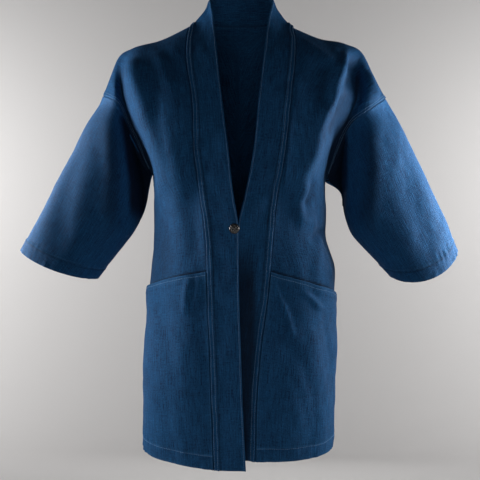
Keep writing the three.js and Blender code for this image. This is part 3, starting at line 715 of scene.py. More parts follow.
def sleevePoints(side, turns, along):
    place = sleeveTube(side, turns, along)
    other = sleeveTube(side, 1 - turns, along)
    depth = armHollows[side]["depth"] * armHollow(side, place, turns) * smooth((along - 0.012) / 0.06)
    return mix(place, other, depth[..., None])


def sleeveTube(side, turns, along):
    sign = sideSign[side]
    rows = sleeveRows[side]
    turn = turns % 1
    flatTurn = turn.ravel()
    angle = 2 * math.pi * flatTurn
    level = underarmV * np.where(flatTurn <= 0.5, flatTurn * 2, (1 - flatTurn) * 2)
    edges = {}
    for share in (0.9, 1.0):
        u = np.full(level.shape, share)
        front = panelPoints(side, "front", u, level)
        back = panelPoints(side, "back", u, level)
        edges[share] = np.where((flatTurn <= 0.5)[:, None], front, back)
    under = np.maximum(0, -np.cos(angle))[:, None]
    drop = sleeveLook["underGap"] * under**2
    offset = np.concatenate([sign * drop, 0 * under, -drop / 2], axis=1)
    start = edges[1.0] + offset
    ghost = edges[0.9] + (edges[1.0] - edges[0.9]) * 0.6 * under**2
    points = [ghost, start]
    for ring in rows:
        top = np.array(ring["top"], float)
        low = np.array(ring["under"], float)
        depth = np.where(np.sin(angle) > 0, ring["fore"], ring["back"])
        keen = 1 + coat["sleeveKeen"] * ring["along"]
        swing = np.sign(np.sin(angle)) * np.abs(np.sin(angle)) ** keen * depth
        place = (top + low) / 2 + (top - low) / 2 * np.cos(angle)[:, None]
        place = place - np.stack([0 * swing, swing, swing * ring["tilt"]], 1)
        place[:, 0] *= sign
        points.append(place)
    knots = [-0.08, 0] + [ring["along"] for ring in rows]
    return curve(knots, np.stack(points), along.ravel()).reshape(turns.shape + (3,))


def sleeveSheet(side, seed):
    look = sleeveLook
    turn, along = np.meshgrid(edgedPlaces(**look["round"]), edgedPlaces(**look["along"]))
    base = sleevePoints(side, turn, along)
    outward = 1 if side == "right" else -1
    normals = gridNormals(base, outward)
    facing = normals[..., 1] / 0.5
    folded = foldHeights(folds["sleeve_" + side], base) * smooth(-facing)
    folded += foldHeights(folds["sleeve_rear_" + side], base) * look["rearShare"] * smooth(facing)
    folded *= smooth(along / 0.12)
    length = arcLengths(base, 0)
    around = arcLengths(base, 1)
    fromCuff = length[-1:] - length
    calm = smooth(length / 25) * smooth(fromCuff / 30 + 0.3)
    spot = base[..., 0] * 0.8 + base[..., 1]
    height = folded + looseHeights(spot, base[..., 2], look, seed) * calm
    height += pucker(length, around, seed + 6, wave=14, reach=9, height=0.5)
    height += pucker(fromCuff - coat["hemDepth"], around, seed + 7, wave=14, reach=10, height=0.5)
    height += pucker(fromCuff, around, seed + 8, wave=30, reach=12, height=0.8)
    height -= look["stitchDip"] * hump(fromCuff - coat["hemStitch"], 2.0)
    points = base + normals * height[..., None]
    edge = np.minimum.reduce([length, fromCuff, around, around[:, -1:] - around])
    # Painted shade: in troughs, beside the cuff's stitched groove and in the hollow under the arm
    shades = [
        look["troughShade"] * smooth(-folded / 9),
        look["stitchShade"] * hump(fromCuff - coat["hemStitch"] + 1.5, 1.6),
        armHollow(side, base, turn, armHollows[side]["shade"]) * smooth((0.62 - along) / 0.2),
    ]
    return {
        "points": points,
        "normals": gridNormals(points, outward),
        "outside": coat["cloth"] / 2 * roundedEdge(edge),
        "inside": hemInside(fromCuff) * roundedEdge(edge),
        "pattern": np.stack([turn * coat["patternRound"], length], 2),
        "fromCuff": fromCuff,
        "wear": np.exp(-(edge / look["wearReach"])) + hemWear(fromCuff),
        "paintedShade": np.maximum.reduce(shades),
    }


# Neckband
bandLook = {
    "inside": 1.2,
    "outside": 1.9,
    "crown": 1.0,
    "hollow": {"right": -10, "left": -6, "nape": -4},
    "ridgeWidth": 9.5,
    "ridgeRise": 1.6,
    "pointGap": 1.2,
    "step": 1.9,
    "napeSteps": 49,
    "nearRidge": [0, 0.3, 0.8, 1.6, 3, 5, 7, 8.2, 8.9, 9.4, 9.9, 10.6, 12],
    "nearEdge": [2.4, 1.2, 0.6, 0.25, 0],
    "ridgeSpan": 13,
    "underDip": 3.0,
    "ridgeShade": 0.5,
    "coverShade": 0.85,
}


# The band's edge round the nape, from the right front to the left
def napeEdgeLine(napes):
    right = [bandRows["right"][1]["edge"], bandRows["right"][0]["edge"], bandNape["side"]["edge"]]
    left = [bandNape["side"]["edge"], bandRows["left"][0]["edge"], bandRows["left"][1]["edge"]]
    points = [(-x, y, z) for x, y, z in right] + [bandNape["centre"]["edge"]] + left
    return curve([-0.2, 0, 0.27, 0.5, 0.73, 1, 1.2], points, napes)


def bandSheet(seed):
    look = bandLook
    ridge = look["ridgeWidth"]
    levels = edgedPlaces(coat["fullDrop"], int(coat["fullDrop"] / look["step"]), 0, 1)[4:]
    napes = np.linspace(0, 1, look["napeSteps"])
    lines = {}
    for side in ("right", "left"):
        for line in ("seam", "edge"):
            lines[side, line] = bandLine(side, line, levels)
            lines[side, line][:, 0] *= sideSign[side]
    half = np.abs(napes - 0.5) * 2 * shares["back"][2]
    necks = [panelPoints(side, "back", half, half * 0) for side in ("right", "left")]
    napeSeam = np.where((napes < 0.5)[:, None], *necks)
    seams = np.concatenate([lines["right", "seam"][::-1], napeSeam, lines["left", "seam"]])
    edges = np.concatenate([lines["right", "edge"][::-1], napeEdgeLine(napes), lines["left", "edge"]])
    drop = np.concatenate([levels[::-1], napes * 0, levels])
    onNape = np.concatenate([levels * 0, napes * 0 + 1, levels * 0]) > 0
    nearEnd = np.concatenate([levels * 0, smooth((np.abs(napes - 0.5) - 0.3) / 0.2), levels * 0])
    nearNeck = 1 - smooth(drop / 0.1)
    isRight = np.arange(len(drop)) < len(levels) + len(napes) / 2
    hollow = np.where(isRight, look["hollow"]["right"], look["hollow"]["left"])
    hollow = np.where(onNape, look["hollow"]["nape"], hollow)
    run = unit(np.gradient(seams + edges, axis=0))
    across = unit(edges - seams)
    normal = unit(np.cross(across, run))[:, None]
    width = np.linalg.norm(edges - seams, axis=1)[:, None]
    start = np.where(onNape, 0, coat["seamGap"]) + look["pointGap"] * np.where(onNape, nearEnd, nearNeck)
    start = start[:, None]
    places = np.concatenate([look["nearRidge"], np.linspace(15, 54, 14)])
    byRidge = start + places * (1 - start / look["ridgeSpan"])
    place = np.where(places < look["ridgeSpan"], byRidge, start + (width - start) * places / 60)
    place = np.concatenate([place, width - np.array(look["nearEdge"])], axis=1)
    share = place / width
    bow = 4 * share * (1 - share) * mix(look["crown"], hollow, nearNeck)[:, None]
    base = seams[:, None] + across[:, None] * place[..., None] + normal * bow[..., None]
    along = np.broadcast_to(arcLengths(base[:, 10:11], 0), place.shape)
    fromSeam = place - start
    fromEdge = width - place
    height = ripple(along, place * 2, 70, seed) * 0.7 * smooth(fromEdge / 8)
    height += pucker(place - ridge, along, seed + 1, wave=6.5, reach=3.5, height=0.6)
    height += pucker(place - 1, along, seed + 3, wave=6.5, reach=2.5, height=0.6)
    height += pucker(fromEdge - 3, along, seed + 2, wave=7, reach=3.5, height=0.25)
    height -= 0.5 * hump(fromSeam - ridge - 1.2, 1.2)
    isUnder = (np.arange(len(drop)) > len(levels) + len(napes))[:, None]
    covered = isUnder * smooth((drop[:, None] - 0.47) / 0.14)
    underReach = mix(40, 60, smooth((drop[:, None] - 0.5) / 0.3))
    height -= look["underDip"] * covered * smooth((30 - fromEdge) / 26)
    points = base + normal * height[..., None]
    normals = gridNormals(points, 1)
    normals *= np.sign(np.sum(normals * normal, axis=2, keepdims=True))
    rise = look["outside"] + look["ridgeRise"] * (1 - smooth((fromSeam - ridge + 0.7) / 1.4))
    edge = np.minimum(fromSeam, fromEdge)
    ends = np.minimum(along, along[-1:] - along)
    return {
        "points": points,
        "normals": normals,
        "outside": rise * roundedEdge(edge) * roundedEdge(ends),
        "inside": look["inside"] * roundedEdge(np.minimum(edge, ends)),
        "pattern": np.stack([place + 900, along], 2),
        "fromSeam": fromSeam,
        "fromEdge": fromEdge,
        "wear": np.exp(-(np.minimum(fromEdge, np.abs(fromSeam - ridge)) / 2.0)),
        # Painted shade beside the ridge, and a painted shadow on the under band where the other band covers
        # it
        "paintedShade": np.maximum(
            look["ridgeShade"] * hump(fromSeam - ridge - 2.0, 1.5),
            look["coverShade"] * covered * smooth((underReach - fromEdge) / 16),
        ),
    }


# Pockets lie on the fronts from their open mouth to the hem
pocketLook = {
    "gap": 0.8,
    "hem": 14,
    "hemRise": 0.6,
    "gape": 3.2,
    "across": {"length": 205, "count": 84, "start": 0.004, "end": 0.996},
    "down": {"length": 335, "count": 130, "start": 0, "end": 1},
    "floor": {"right": 133, "left": 119},
    "mouthStitch": 6.0,
    "floorLine": 0.25,
    "floorShade": 0.13,
    "mouthWear": 1.5,
}


def gridSample(sheet, key, u, v):
    i = np.interp(v, sheet["vs"], np.arange(len(sheet["vs"])))
    j = np.interp(u, sheet["us"], np.arange(len(sheet["us"])))
    i0 = np.clip(i.astype(int), 0, len(sheet["vs"]) - 2)
    j0 = np.clip(j.astype(int), 0, len(sheet["us"]) - 2)
    grid = sheet[key]
    fi = i - i0
    fj = j - j0
    if grid.ndim == 3:
        fi = fi[..., None]
        fj = fj[..., None]
    top = mix(grid[i0, j0], grid[i0, j0 + 1], fj)
    low = mix(grid[i0 + 1, j0], grid[i0 + 1, j0 + 1], fj)
    return mix(top, low, fi)


def pocketSheet(side, front, seed):
    look = pocketLook
    u, share = np.meshgrid(edgedPlaces(**look["across"]), edgedPlaces(**look["down"]))
    top = mouthDown(side, u)
    v = mix(top / coat["fullDrop"], 1, share)
    points = gridSample(front, "points", u, v)
    normals = unit(gridSample(front, "normals", u, v))
    fromMouth = share * (coat["fullDrop"] - top)
    fromHem = (1 - share) * (coat["fullDrop"] - top)
    across = arcLengths(points, 1)
    fromSides = np.minimum(across, across[:, -1:] - across)
    gaping = np.sin(math.pi * u) * (1 - smooth(share / 0.3))
    height = coat["cloth"] + look["gap"] + look["gape"] * gaping
    height = height + foldHeights(folds["pocket_" + side], points) * smooth(fromSides / 12)
    loose = ripple(points[..., 0] * 1.2, points[..., 2], 60, seed, 1.5) * 0.7
    height += loose * smooth(fromSides / 16) * smooth(fromHem / 40)
    height += np.abs(pucker(fromMouth - look["hem"] * 0.5, across, seed + 1, wave=13, reach=9, height=0.5))
    height += np.abs(pucker(fromSides - 3, fromMouth, seed + 2, wave=13, reach=7, height=0.4))
    height = np.maximum(height, coat["cloth"] + look["gap"] * 0.8)
    height -= 0.3 * hump(fromMouth - look["mouthStitch"], 1.3)
    fromFloor = np.abs(fromHem - look["floor"][side] - 3 * np.sin(2 * u))
    height -= look["floorLine"] * hump(fromFloor, 3.0)
    height -= 0.5 * hump(fromHem - coat["hemStitch"], 1.8)
    inHem = fromHem - coat["hemDepth"] * 0.6
    height += np.abs(pucker(inHem, across, seed + 4, wave=15, reach=12, height=0.7))
    moved = points + normals * height[..., None]
    edge = np.minimum(np.minimum(fromMouth, fromSides), fromHem)
    hem = look["hemRise"] * (1 - smooth((fromMouth - look["hem"]) / 3))
    rubbed = np.minimum(edge, np.abs(fromMouth - look["mouthStitch"]))
    return {
        "points": moved,
        "normals": gridNormals(moved, 1 if side == "right" else -1),
        "outside": (coat["cloth"] / 2 + hem) * roundedEdge(edge),
        "inside": coat["cloth"] / 2 * roundedEdge(edge),
        "pattern": np.stack([across + 300, fromMouth], 2),
        "fromMouth": fromMouth,
        "fromHem": fromHem,
        "wear": look["mouthWear"] * np.exp(-(rubbed / 2.2)) + hemWear(fromHem),
        # Painted shade along the pocket's floor line
        "paintedShade": look["floorShade"] * hump(fromFloor, 2.6),
    }


# Seam allowances lie flat on the cloth's inner face and close each seam
allowanceLook = {
    "width": 11,
    "thick": 0.9,
    "depth": 1.5,
    "places": [-1, -0.94, 0, 0.94, 1],
    "shares": [0.2, 1, 1, 1, 0.2],
}


def allowanceMesh(name, line, normals):
    look = allowanceLook
    run = unit(np.gradient(line, axis=0))
    side = unit(np.cross(run, normals))
    middle = line - normals * look["depth"]
    places = np.array(look["places"]) * look["width"] / 2
    thick = np.array(look["shares"]) * look["thick"] / 2
    points = middle[:, None] + side[:, None] * places[None, :, None]
    shape = points.shape[:2]
    along = np.broadcast_to(arcLengths(line[:, None], 0), shape)
    sheet = {
        "points": points,
        "normals": np.repeat(normals[:, None], len(places), axis=1),
        "outside": np.broadcast_to(thick, shape),
        "inside": np.broadcast_to(thick, shape),
        "pattern": np.stack([np.broadcast_to(places, shape), along], 2),
    }
    return clothMesh(name, sheet)


# The line half way between the edges of two sheets that meet
def seamLine(first, second):
    return (first[0] + second[0]) / 2, unit(first[1] + second[1])


# Stitches: each is a short thread that dives into the cloth at both ends
stitchLook = {
    "pitch": 3.4,
    "thread": 2.7,
    "thick": 0.36,
    "sides": 4,
    "fractions": [0, 0.22, 0.78, 1],
    "sizes": [0.5, 1, 1, 0.5],
    "lifts": [-0.3, 0.3, 0.3, -0.3],
    "lengthwise": 0.15,
    "sidewise": 0.12,
}


def stitchesAlong(line, normals, seed):
    look = stitchLook
    steps = np.linalg.norm(np.diff(line, axis=0), axis=1)
    arc = np.concatenate([[0], np.cumsum(steps)])
    count = int(arc[-1] / look["pitch"])
    chance = np.random.default_rng(seed)
    shifts = chance.uniform(-look["lengthwise"], look["lengthwise"], count)
    starts = (np.arange(count) + 0.2) * look["pitch"] + shifts
    sizes = np.array(look["sizes"]) * look["thick"]
    lifts = np.array(look["lifts"])
    at = starts[:, None] + np.array(look["fractions"]) * look["thread"]
    place = np.stack([np.interp(at, arc, line[:, k]) for k in range(3)], 2)
    up = unit(np.stack([np.interp(at, arc, normals[:, k]) for k in range(3)], 2))
    side = unit(np.cross(unit(np.gradient(place, axis=1)), up))
    centre = place + up * lifts[None, :, None]
    centre = centre + side * chance.uniform(-look["sidewise"], look["sidewise"], (count, 1, 1))
    vertices = []
    for k in range(look["sides"]):
        angle = 2 * math.pi * k / look["sides"]
        offset = side * math.cos(angle) + up * math.sin(angle)
        vertices.append(centre + offset * sizes[None, :, None])
    vertices = np.stack(vertices, 2)
    shape = vertices.shape[:3]
    index = np.arange(math.prod(shape)).reshape(shape)
    a = index[:, :-1, :]
    b = np.roll(a, -1, axis=2)
    c = np.roll(index[:, 1:, :], -1, axis=2)
    d = index[:, 1:, :]
    quads = np.stack([a, d, c, b], 3).reshape(-1, 4)
    return vertices.reshape(-1, 3), quads.tolist() + index[:, 0].tolist() + index[:, -1, ::-1].tolist()


def stitchMesh(name, lines, seed):
    vertices = []
    faces = []
    base = 0
    for number, (line, normals) in enumerate(lines):
        points, polygons = stitchesAlong(line, normals, seed + number)
        vertices.append(points)
        faces += [[corner + base for corner in polygon] for polygon in polygons]
        base += len(points)
    mesh = smoothMesh(name, (np.concatenate(vertices) * millimetre).tolist(), faces)
    return dressed(name, mesh, threadMaterial)


# The line on a sheet's outer face where a measure has a given value, column by column or row by row
def levelLine(sheet, key, value, axis, low=0.0, high=1.0):
    grid = sheet[key]
    line = []
    normals = []
    count = grid.shape[1 - axis]
    for k in range(int(low * (count - 1)), int(high * (count - 1)) + 1):
        values = np.take(grid, k, axis=1 - axis)
        order = np.argsort(values)
        place = np.interp(value, values[order], np.arange(len(values))[order])
        i = min(int(place), len(values) - 2)
        outer = np.take(sheet["outer"], k, axis=1 - axis)
        normal = np.take(sheet["normals"], k, axis=1 - axis)
        line.append(mix(outer[i], outer[i + 1], place - i))
        normals.append(mix(normal[i], normal[i + 1], place - i))
    return np.array(line), unit(np.array(normals))


# Colours are sRGB hex, used as linear values
def linear(text):
    values = [int(text[i:i + 2], 16) / 255 for i in (0, 2, 4)]
    return tuple(c / 12.92 if c <= 0.04045 else ((c + 0.055) / 1.055) ** 2.4 for c in values) + (1.0,)


def addNode(tree, kind, inputs, **settings):
    made = tree.nodes.new(kind)
    for key, value in settings.items():
        setattr(made, key, value)
    for key, value in inputs.items():
        if isinstance(value, bpy.types.NodeSocket):
            tree.links.new(value, made.inputs[key])
        else:
            made.inputs[key].default_value = value
    return made


def newMaterial(name):
    material = bpy.data.materials.new(name)
    material.use_nodes = True
    material.node_tree.nodes.clear()
    return material, material.node_tree


def addShader(tree, inputs):
    shader = addNode(tree, "ShaderNodeBsdfPrincipled", inputs)
    addNode(tree, "ShaderNodeOutputMaterial", {"Surface": shader.outputs["BSDF"]})


def mathNode(tree, operation, *values):
    return addNode(tree, "ShaderNodeMath", dict(enumerate(values)), operation=operation).outputs[0]


def mixColours(tree, share, first, second):
    inputs = {"Factor": share, 6: first, 7: second}
    return addNode(tree, "ShaderNodeMix", inputs, data_type="RGBA").outputs[2]


def between(tree, value, low, high):
    inputs = {"Value": value, "To Min": low, "To Max": high}
    return addNode(tree, "ShaderNodeMapRange", inputs).outputs["Result"]


def relief(tree, strength, distance, height):
    inputs = {"Strength": strength, "Distance": distance, "Height": height}
    return addNode(tree, "ShaderNodeBump", inputs).outputs["Normal"]


def patternScaled(tree, pattern, width, length):
    inputs = {"Vector": pattern, "Scale": (1 / width, 1 / length, 1)}
    return addNode(tree, "ShaderNodeMapping", inputs).outputs["Vector"]


# A noise stretched to the size of a thread or a patch, in millimetres of cloth
def clothNoise(tree, pattern, size, detail, roughness=0.55):
    place = patternScaled(tree, pattern, *size)
    inputs = {"Vector": place, "Scale": 1.0, "Detail": detail, "Roughness": roughness}
    return addNode(tree, "ShaderNodeTexNoise", inputs, noise_dimensions="2D").outputs["Fac"]


def objectNoise(tree, scale, detail):
    place = addNode(tree, "ShaderNodeTexCoord", {}).outputs["Object"]
    inputs = {"Vector": place, "Scale": scale, "Detail": detail}
    return addNode(tree, "ShaderNodeTexNoise", inputs).outputs["Fac"]


def painted(tree, name):
    return addNode(tree, "ShaderNodeAttribute", {}, attribute_name=name).outputs["Fac"]


# Adds a noise to a value, centred and with its weight
def weighted(tree, value, weight, add):
    centred = mathNode(tree, "SUBTRACT", value, 0.5)
    return mathNode(tree, "MULTIPLY_ADD", centred, weight, add)


# Sizes are the width across and the length along of a thread or patch, in millimetres
denimLook = {
    "deep": "051d3e",
    "bright": "205f92",
    "worn": "447cad",
    # Near-black blue painted where shade falls: troughs, creases, hollows and covered cloth
    "paintedShade": "01081a",
    "bloom": "5796d8",
    "warp": (1.7, 40),
    "weft": (20, 1.5),
    "fine": (0.9, 22),
    "grain": (1.6, 3.4),
    "mottle": (120, 168),
    "twill": 1.1,
    "middle": 0.47,
    "wornShare": 0.3,
    "paintedShadeShare": 0.92,
}


# Piece-dyed indigo slub denim: long warp slubs, short weft ones, a fine twill and a matt face with some
# bloom, with painted shade in its creases, hollows and covered places
def makeDenim():
    look = denimLook
    material, tree = newMaterial("pieceDyedIndigoDenim")
    pattern = addNode(tree, "ShaderNodeUVMap", {}, uv_map="pattern").outputs["UV"]
    warp = clothNoise(tree, pattern, look["warp"], 3)
    fine = clothNoise(tree, pattern, look["fine"], 2)
    weft = clothNoise(tree, pattern, look["weft"], 3)
    grain = clothNoise(tree, pattern, look["grain"], 2, 0.7)
    mottle = clothNoise(tree, pattern, look["mottle"], 3)
    shade = look["middle"]
    for value, weight in ((warp, 0.9), (weft, 0.55), (fine, 0.9), (grain, 1.0), (mottle, 0.25)):
        shade = weighted(tree, value, weight, shade)
    colour = mixColours(tree, shade, linear(look["deep"]), linear(look["bright"]))
    rubbed = mathNode(tree, "MULTIPLY", painted(tree, "wear"), weft)
    rubbed = mathNode(tree, "MULTIPLY", rubbed, look["wornShare"])
    colour = mixColours(tree, rubbed, colour, linear(look["worn"]))
    # Painted shade: the colour darkens towards near-black where the shade attribute read here is high
    paintedShade = mathNode(tree, "MULTIPLY", painted(tree, "paintedShade"), look["paintedShadeShare"])
    colour = mixColours(tree, paintedShade, colour, linear(look["paintedShade"]))
    twill = addNode(
        tree, "ShaderNodeTexWave",
        {
            "Vector": patternScaled(tree, pattern, look["twill"], look["twill"]),
            "Scale": 0.3,
            "Distortion": 1.5,
            "Detail": 1.0,
        },
        bands_direction="DIAGONAL",
    )
    height = 0.5
    for value, weight in ((twill.outputs["Fac"], 0.3), (warp, 1.1), (weft, 0.8), (grain, 0.9)):
        height = weighted(tree, value, weight, height)
    addShader(tree, {
        "Base Color": colour,
        "Roughness": between(tree, warp, 0.72, 0.92),
        "Normal": relief(tree, 0.7, 0.0006, height),
        "Specular IOR Level": 0.16,
        "Sheen Weight": 0.1,
        "Sheen Roughness": 0.5,
        "Sheen Tint": linear(look["bloom"]),
    })
    return material


# Tonal polyester-core topstitching thread: the same blue, a little smoother than the cloth
def makeThread():
    material, tree = newMaterial("tonalTopstitchThread")
    noise = objectNoise(tree, 900.0, 2.0)
    addShader(tree, {
        "Base Color": mixColours(tree, noise, linear("35628f"), linear("6f9cc6")),
        "Roughness": 0.55,
        "Normal": relief(tree, 0.3, 0.0001, noise),
        "Sheen Weight": 0.15,
    })
    return material


# Moulded dark brown polyester button: glossy, with the faint unevenness of a tumbled finish
def makeButtonPlastic():
    material, tree = newMaterial("mouldedDarkPolyester")
    noise = objectNoise(tree, 260.0, 3.0)
    addShader(tree, {
        "Base Color": mixColours(tree, noise, linear("0b0b0c"), linear("1d1b1b")),
        "Roughness": between(tree, noise, 0.2, 0.32),
        "Specular IOR Level": 0.8,
        "Coat Weight": 0.6,
        "Coat Roughness": 0.12,
    })
    return material


denimMaterial = makeDenim()
threadMaterial = makeThread()
buttonMaterial = makeButtonPlastic()
print("materials made")

# Button: a low dome of interlaced strands. Its shank is listed from the rim down, as (radius, height).
buttonLook = {
    "radius": 9.4,
    "height": 7.0,
    "rim": 2.4,
    "shank": [(9.4, 1.9), (8.46, 1.5), (3.2, 1.3), (3.0, 0)],
    "seat": 0.75,
    "x": -8,
    "z": -389,
    "strand": 4.7,
    "relief": 1.15,
    "rings": 70,
    "spokes": 120,
}


def knotHeights(x, y, r):
    look = buttonLook
    p = (x + y) / math.sqrt(2) / look["strand"] + 0.5
    q = (x - y) / math.sqrt(2) / look["strand"] + 0.5
    overP = (np.floor(p) + np.floor(q)) % 2 == 0
    crownP = np.sin(math.pi * (p % 1))
    crownQ = np.sin(math.pi * (q % 1))
    strandP = np.sqrt(crownP) * (0.55 + 0.45 * crownQ)
    strandQ = np.sqrt(crownQ) * (0.55 + 0.45 * crownP)
    weave = np.where(overP, strandP, strandQ) - 0.7
    dome = (look["height"] - look["rim"]) * np.sqrt(np.maximum(0, 1 - r**2.4))
    return look["rim"] + dome + look["relief"] * weave * smooth((1 - r) / 0.12)


def buttonMesh():
    look = buttonLook
    spokes = look["spokes"]
    angles = np.linspace(0, 2 * math.pi, spokes, endpoint=False)
    r, angle = np.meshgrid(np.linspace(0, 1, look["rings"]) ** 0.8, angles, indexing="ij")
    x = r * look["radius"] * np.cos(angle)
    y = r * look["radius"] * np.sin(angle)
    vertices = [np.stack([x.ravel(), y.ravel(), knotHeights(x, y, r).ravel()], 1)]
    for radius, level in look["shank"]:
        vertices.append(np.stack([radius * np.cos(angles), radius * np.sin(angles), angles * 0 + level], 1))
    vertices = np.concatenate(vertices)
    index = np.arange(len(vertices)).reshape(-1, spokes)
    a = index[:-1]
    b = index[1:]
    quads = np.stack([a, b, np.roll(b, -1, 1), np.roll(a, -1, 1)], 2).reshape(-1, 4)
    faces = quads.tolist() + [index[-1, ::-1].tolist()]
    level = (coat["neckHeight"] - look["z"]) / coat["fullDrop"]
    seam = bandLine("right", "seam", [level])[0]
    edge = bandLine("right", "edge", [level])[0]
    across = (look["x"] + seam[0]) / (seam[0] - edge[0])
    seat = mix(seam[1], edge[1], across) - bandLook["outside"] - look["seat"]
    place = np.stack([vertices[:, 0], -vertices[:, 2], vertices[:, 1]], 1) + (look["x"], seat, look["z"])
    mesh = smoothMesh("button_knot", (place * millimetre).tolist(), faces)
    mesh.validate()
    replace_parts(dressed("button_knot", mesh, buttonMaterial), "button")


sheets = {
    "front_right": panelSheet("right", "front", 101),
    "front_left": panelSheet("left", "front", 131),
    "back": joinHalves(panelSheet("right", "back", 161), panelSheet("left", "back", 191)),
    "sleeve_right": sleeveSheet("right", 221),
    "sleeve_left": sleeveSheet("left", 251),
    "neckband": bandSheet(281),
}
sheets["pocket_right"] = pocketSheet("right", sheets["front_right"], 311)
sheets["pocket_left"] = pocketSheet("left", sheets["front_left"], 331)
pieces = {}
for name, sheet in sheets.items():
    pieces[name] = clothMesh(name + "_cloth", sheet)
    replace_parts(pieces[name], name)
print("cloth pieces made")

# Lines of stitches: a sheet's measure, its value, the axis, and the part of the length that is sewn
hemLine = ("fromHem", coat["hemStitch"], 0)
armLength = (0.01, underarmV * 0.97)
stitchLines = {
    "front": [hemLine, ("fromArm", 2.2, 1, *armLength), ("fromArm", 6.4, 1, *armLength), ("down", 3.0, 0)],
    "pocket": [("fromMouth", pocketLook["mouthStitch"], 0), hemLine],
    "sleeve": [("fromCuff", coat["hemStitch"], 0)],
    "back": [hemLine],
    "neckband": [("fromSeam", bandLook["ridgeWidth"] - 2.0, 1), ("fromSeam", 1.9, 1), ("fromEdge", 2.6, 1)],
}
stitchSeeds = {"front": 401, "pocket": 411, "sleeve": 421, "back": 431, "neckband": 441}
stitched = {}
sewn = [part + side for side in ("_right", "_left") for part in ("front", "pocket", "sleeve")]
for name in sewn + ["back", "neckband"]:
    kind = name.split("_")[0]
    lines = [levelLine(sheets[name], *line) for line in stitchLines[kind]]
    stitched[name] = stitchMesh(name + "_stitches", lines, stitchSeeds[kind])

# The seams, each from the edges of the sheets that meet there
back = sheets["back"]
band = sheets["neckband"]
for side in ("right", "left"):
    front = sheets["front_" + side]
    low = front["vs"] > underarmV
    ends = []
    for sheet, edge in ((front, -1), (back, -1 if side == "left" else 0)):
        ends.append((sheet["points"][:, edge], sheet["normals"][:, edge]))
    sideSeam = seamLine(*[(points[low], normals[low]) for points, normals in ends])
    allowanceMesh("side_seam_" + side, *sideSeam)
    armhole = [np.concatenate([ends[0][k][~low], ends[1][k][~low][::-1]]) for k in (0, 1)]
    allowanceMesh("armhole_seam_" + side, *armhole)
    allowanceMesh("shoulder_seam_" + side, front["points"][0], front["normals"][0])
allowanceMesh("neckband_seam", band["points"][:, 0], band["normals"][:, 0])
buttonMesh()
print("stitches, seams and button made")

# Stage, in metres: a pale floor that curves up into a wall far behind
stageLook = {
    "floorZ": -1.43,
    "wallY": 3.4,
    "bend": 0.9,
    "bendSteps": 16,
    "halfWidth": 5.0,
    "nearY": -4.5,
    "top": 3.5,
    "colour": "dcdad9",
}


def buildStage():
    look = stageLook
    bend = look["bend"]
    profile = [(look["nearY"], look["floorZ"])]
    for k in range(look["bendSteps"] + 1):
        angle = math.pi / 2 * k / look["bendSteps"]
        y = look["wallY"] - bend + bend * math.sin(angle)
        z = look["floorZ"] + bend - bend * math.cos(angle)
        profile.append((y, z))
    profile.append((look["wallY"], look["top"]))
    vertices = [(x, y, z) for y, z in profile for x in (-look["halfWidth"], look["halfWidth"])]
    faces = [(2 * k, 2 * k + 1, 2 * k + 3, 2 * k + 2) for k in range(len(profile) - 1)]
    mesh = smoothMesh("studio_cove", vertices, faces)
    cove = bpy.data.objects.new("studio_cove", mesh)
    bpy.context.scene.collection.objects.link(cove)
    material, tree = newMaterial("matPaintedStudioCove")
    addShader(tree, {"Base Color": linear(look["colour"]), "Roughness": 0.9, "Specular IOR Level": 0.1})
    mesh.materials.append(material)


# Each side has a lamp for the sleeve and a weaker one for the rest, as flags part the light in a studio
lights = table(
    "name place aim size watts lit",
    ("sleeve_right_lamp", (0.8, 0.04, -0.28), (0.3, 0.0, -0.3), (0.4, 0.4), 13.5, "sleeves"),
    ("side_right_lamp", (0.8, 0.04, -0.28), (0.3, 0.0, -0.3), (0.4, 0.4), 7.6, "rest"),
    ("sleeve_left_lamp", (-0.92, 0.17, -0.32), (-0.3, 0.0, -0.34), (0.5, 0.7), 22, "sleeves"),
    ("side_left_lamp", (-0.92, -0.04, -0.26), (-0.3, 0.0, -0.28), (0.5, 0.5), 10, "rest"),
    ("low_right", (0.9, -1.5, -1.0), (0.12, -0.14, -0.4), (0.5, 0.5), 2.4),
    ("front", (-0.3, -3.2, -0.8), (0, 0, -0.45), (1.6, 1.6), 11.5),
    ("back", (0.2, 2.4, -0.3), (0, 0, -0.42), (1.4, 1.4), 8, "rest"),
    ("wall_right", (2.3, 1.9, 0.0), (1.4, 3.4, 0.0), (0.7, 0.7), 30),
    ("wall_left", (-2.3, 1.9, 0.0), (-1.4, 3.4, 0.0), (0.7, 0.7), 35),
)
worldLook = {"colour": "d8dade", "glow": 0.04, "far": 0.4}


def aimAt(thing, target):
    direction = np.array(target) - np.array(thing.location)
    flat = math.hypot(direction[0], direction[1])
    pitch = math.atan2(flat, -direction[2])
    yaw = math.atan2(direction[1], direction[0]) - math.pi / 2
    thing.rotation_euler = (pitch, 0, yaw)


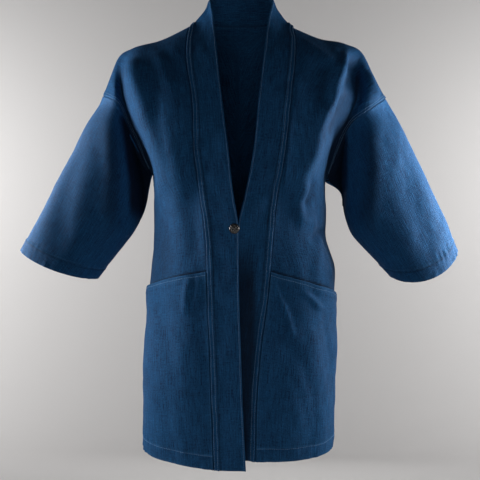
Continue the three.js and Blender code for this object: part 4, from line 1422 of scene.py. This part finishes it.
# What a lamp lights: only the sleeves, or all but them
def litGroup(name, state):
    group = bpy.data.collections.new("lit_" + name)
    for key in ("sleeve_right", "sleeve_left"):
        group.objects.link(pieces[key])
        group.objects.link(stitched[key])
    for entry in group.collection_objects:
        entry.light_linking.link_state = state
    return group


def buildLights():
    groups = {"sleeves": litGroup("sleeves", "INCLUDE"), "rest": litGroup("rest", "EXCLUDE")}
    for row in lights:
        data = bpy.data.lights.new(row["name"], "AREA")
        data.shape = "RECTANGLE"
        data.size = row["size"][0]
        data.size_y = row["size"][1]
        data.energy = row["watts"]
        lamp = bpy.data.objects.new(row["name"], data)
        lamp.location = row["place"]
        aimAt(lamp, row["aim"])
        lamp.visible_camera = False
        if "lit" in row:
            lamp.light_linking.receiver_collection = groups[row["lit"]]
        bpy.context.scene.collection.objects.link(lamp)


# A dim world, which only a ray straight from the camera sees brighter
def buildWorld():
    look = worldLook
    world = bpy.data.worlds.new("studio")
    world.use_nodes = True
    world.node_tree.nodes.clear()
    tree = world.node_tree
    skies = []
    for strength in (look["glow"], look["far"]):
        sky = addNode(tree, "ShaderNodeBackground", {"Color": linear(look["colour"]), "Strength": strength})
        skies.append(sky.outputs["Background"])
    path = addNode(tree, "ShaderNodeLightPath", {})
    seen = addNode(tree, "ShaderNodeMixShader", {0: path.outputs["Is Camera Ray"], 1: skies[0], 2: skies[1]})
    addNode(tree, "ShaderNodeOutputWorld", {"Surface": seen.outputs["Shader"]})
    bpy.context.scene.world = world


# The camera stands level, straight in front, at the height of the coat's middle
cameraLook = {"place": (0.002, -1.7, -0.409), "lens": 66.06, "sensor": 36}


def buildCamera():
    data = bpy.data.cameras.new("camera")
    data.lens = cameraLook["lens"]
    data.sensor_width = cameraLook["sensor"]
    camera = bpy.data.objects.new("camera", data)
    camera.location = cameraLook["place"]
    camera.rotation_euler = (math.pi / 2, 0, 0)
    bpy.context.scene.collection.objects.link(camera)
    bpy.context.scene.camera = camera


buildStage()
buildLights()
buildWorld()
buildCamera()
bpy.context.scene.view_settings.view_transform = "Standard"
print("stage, lights and camera made")
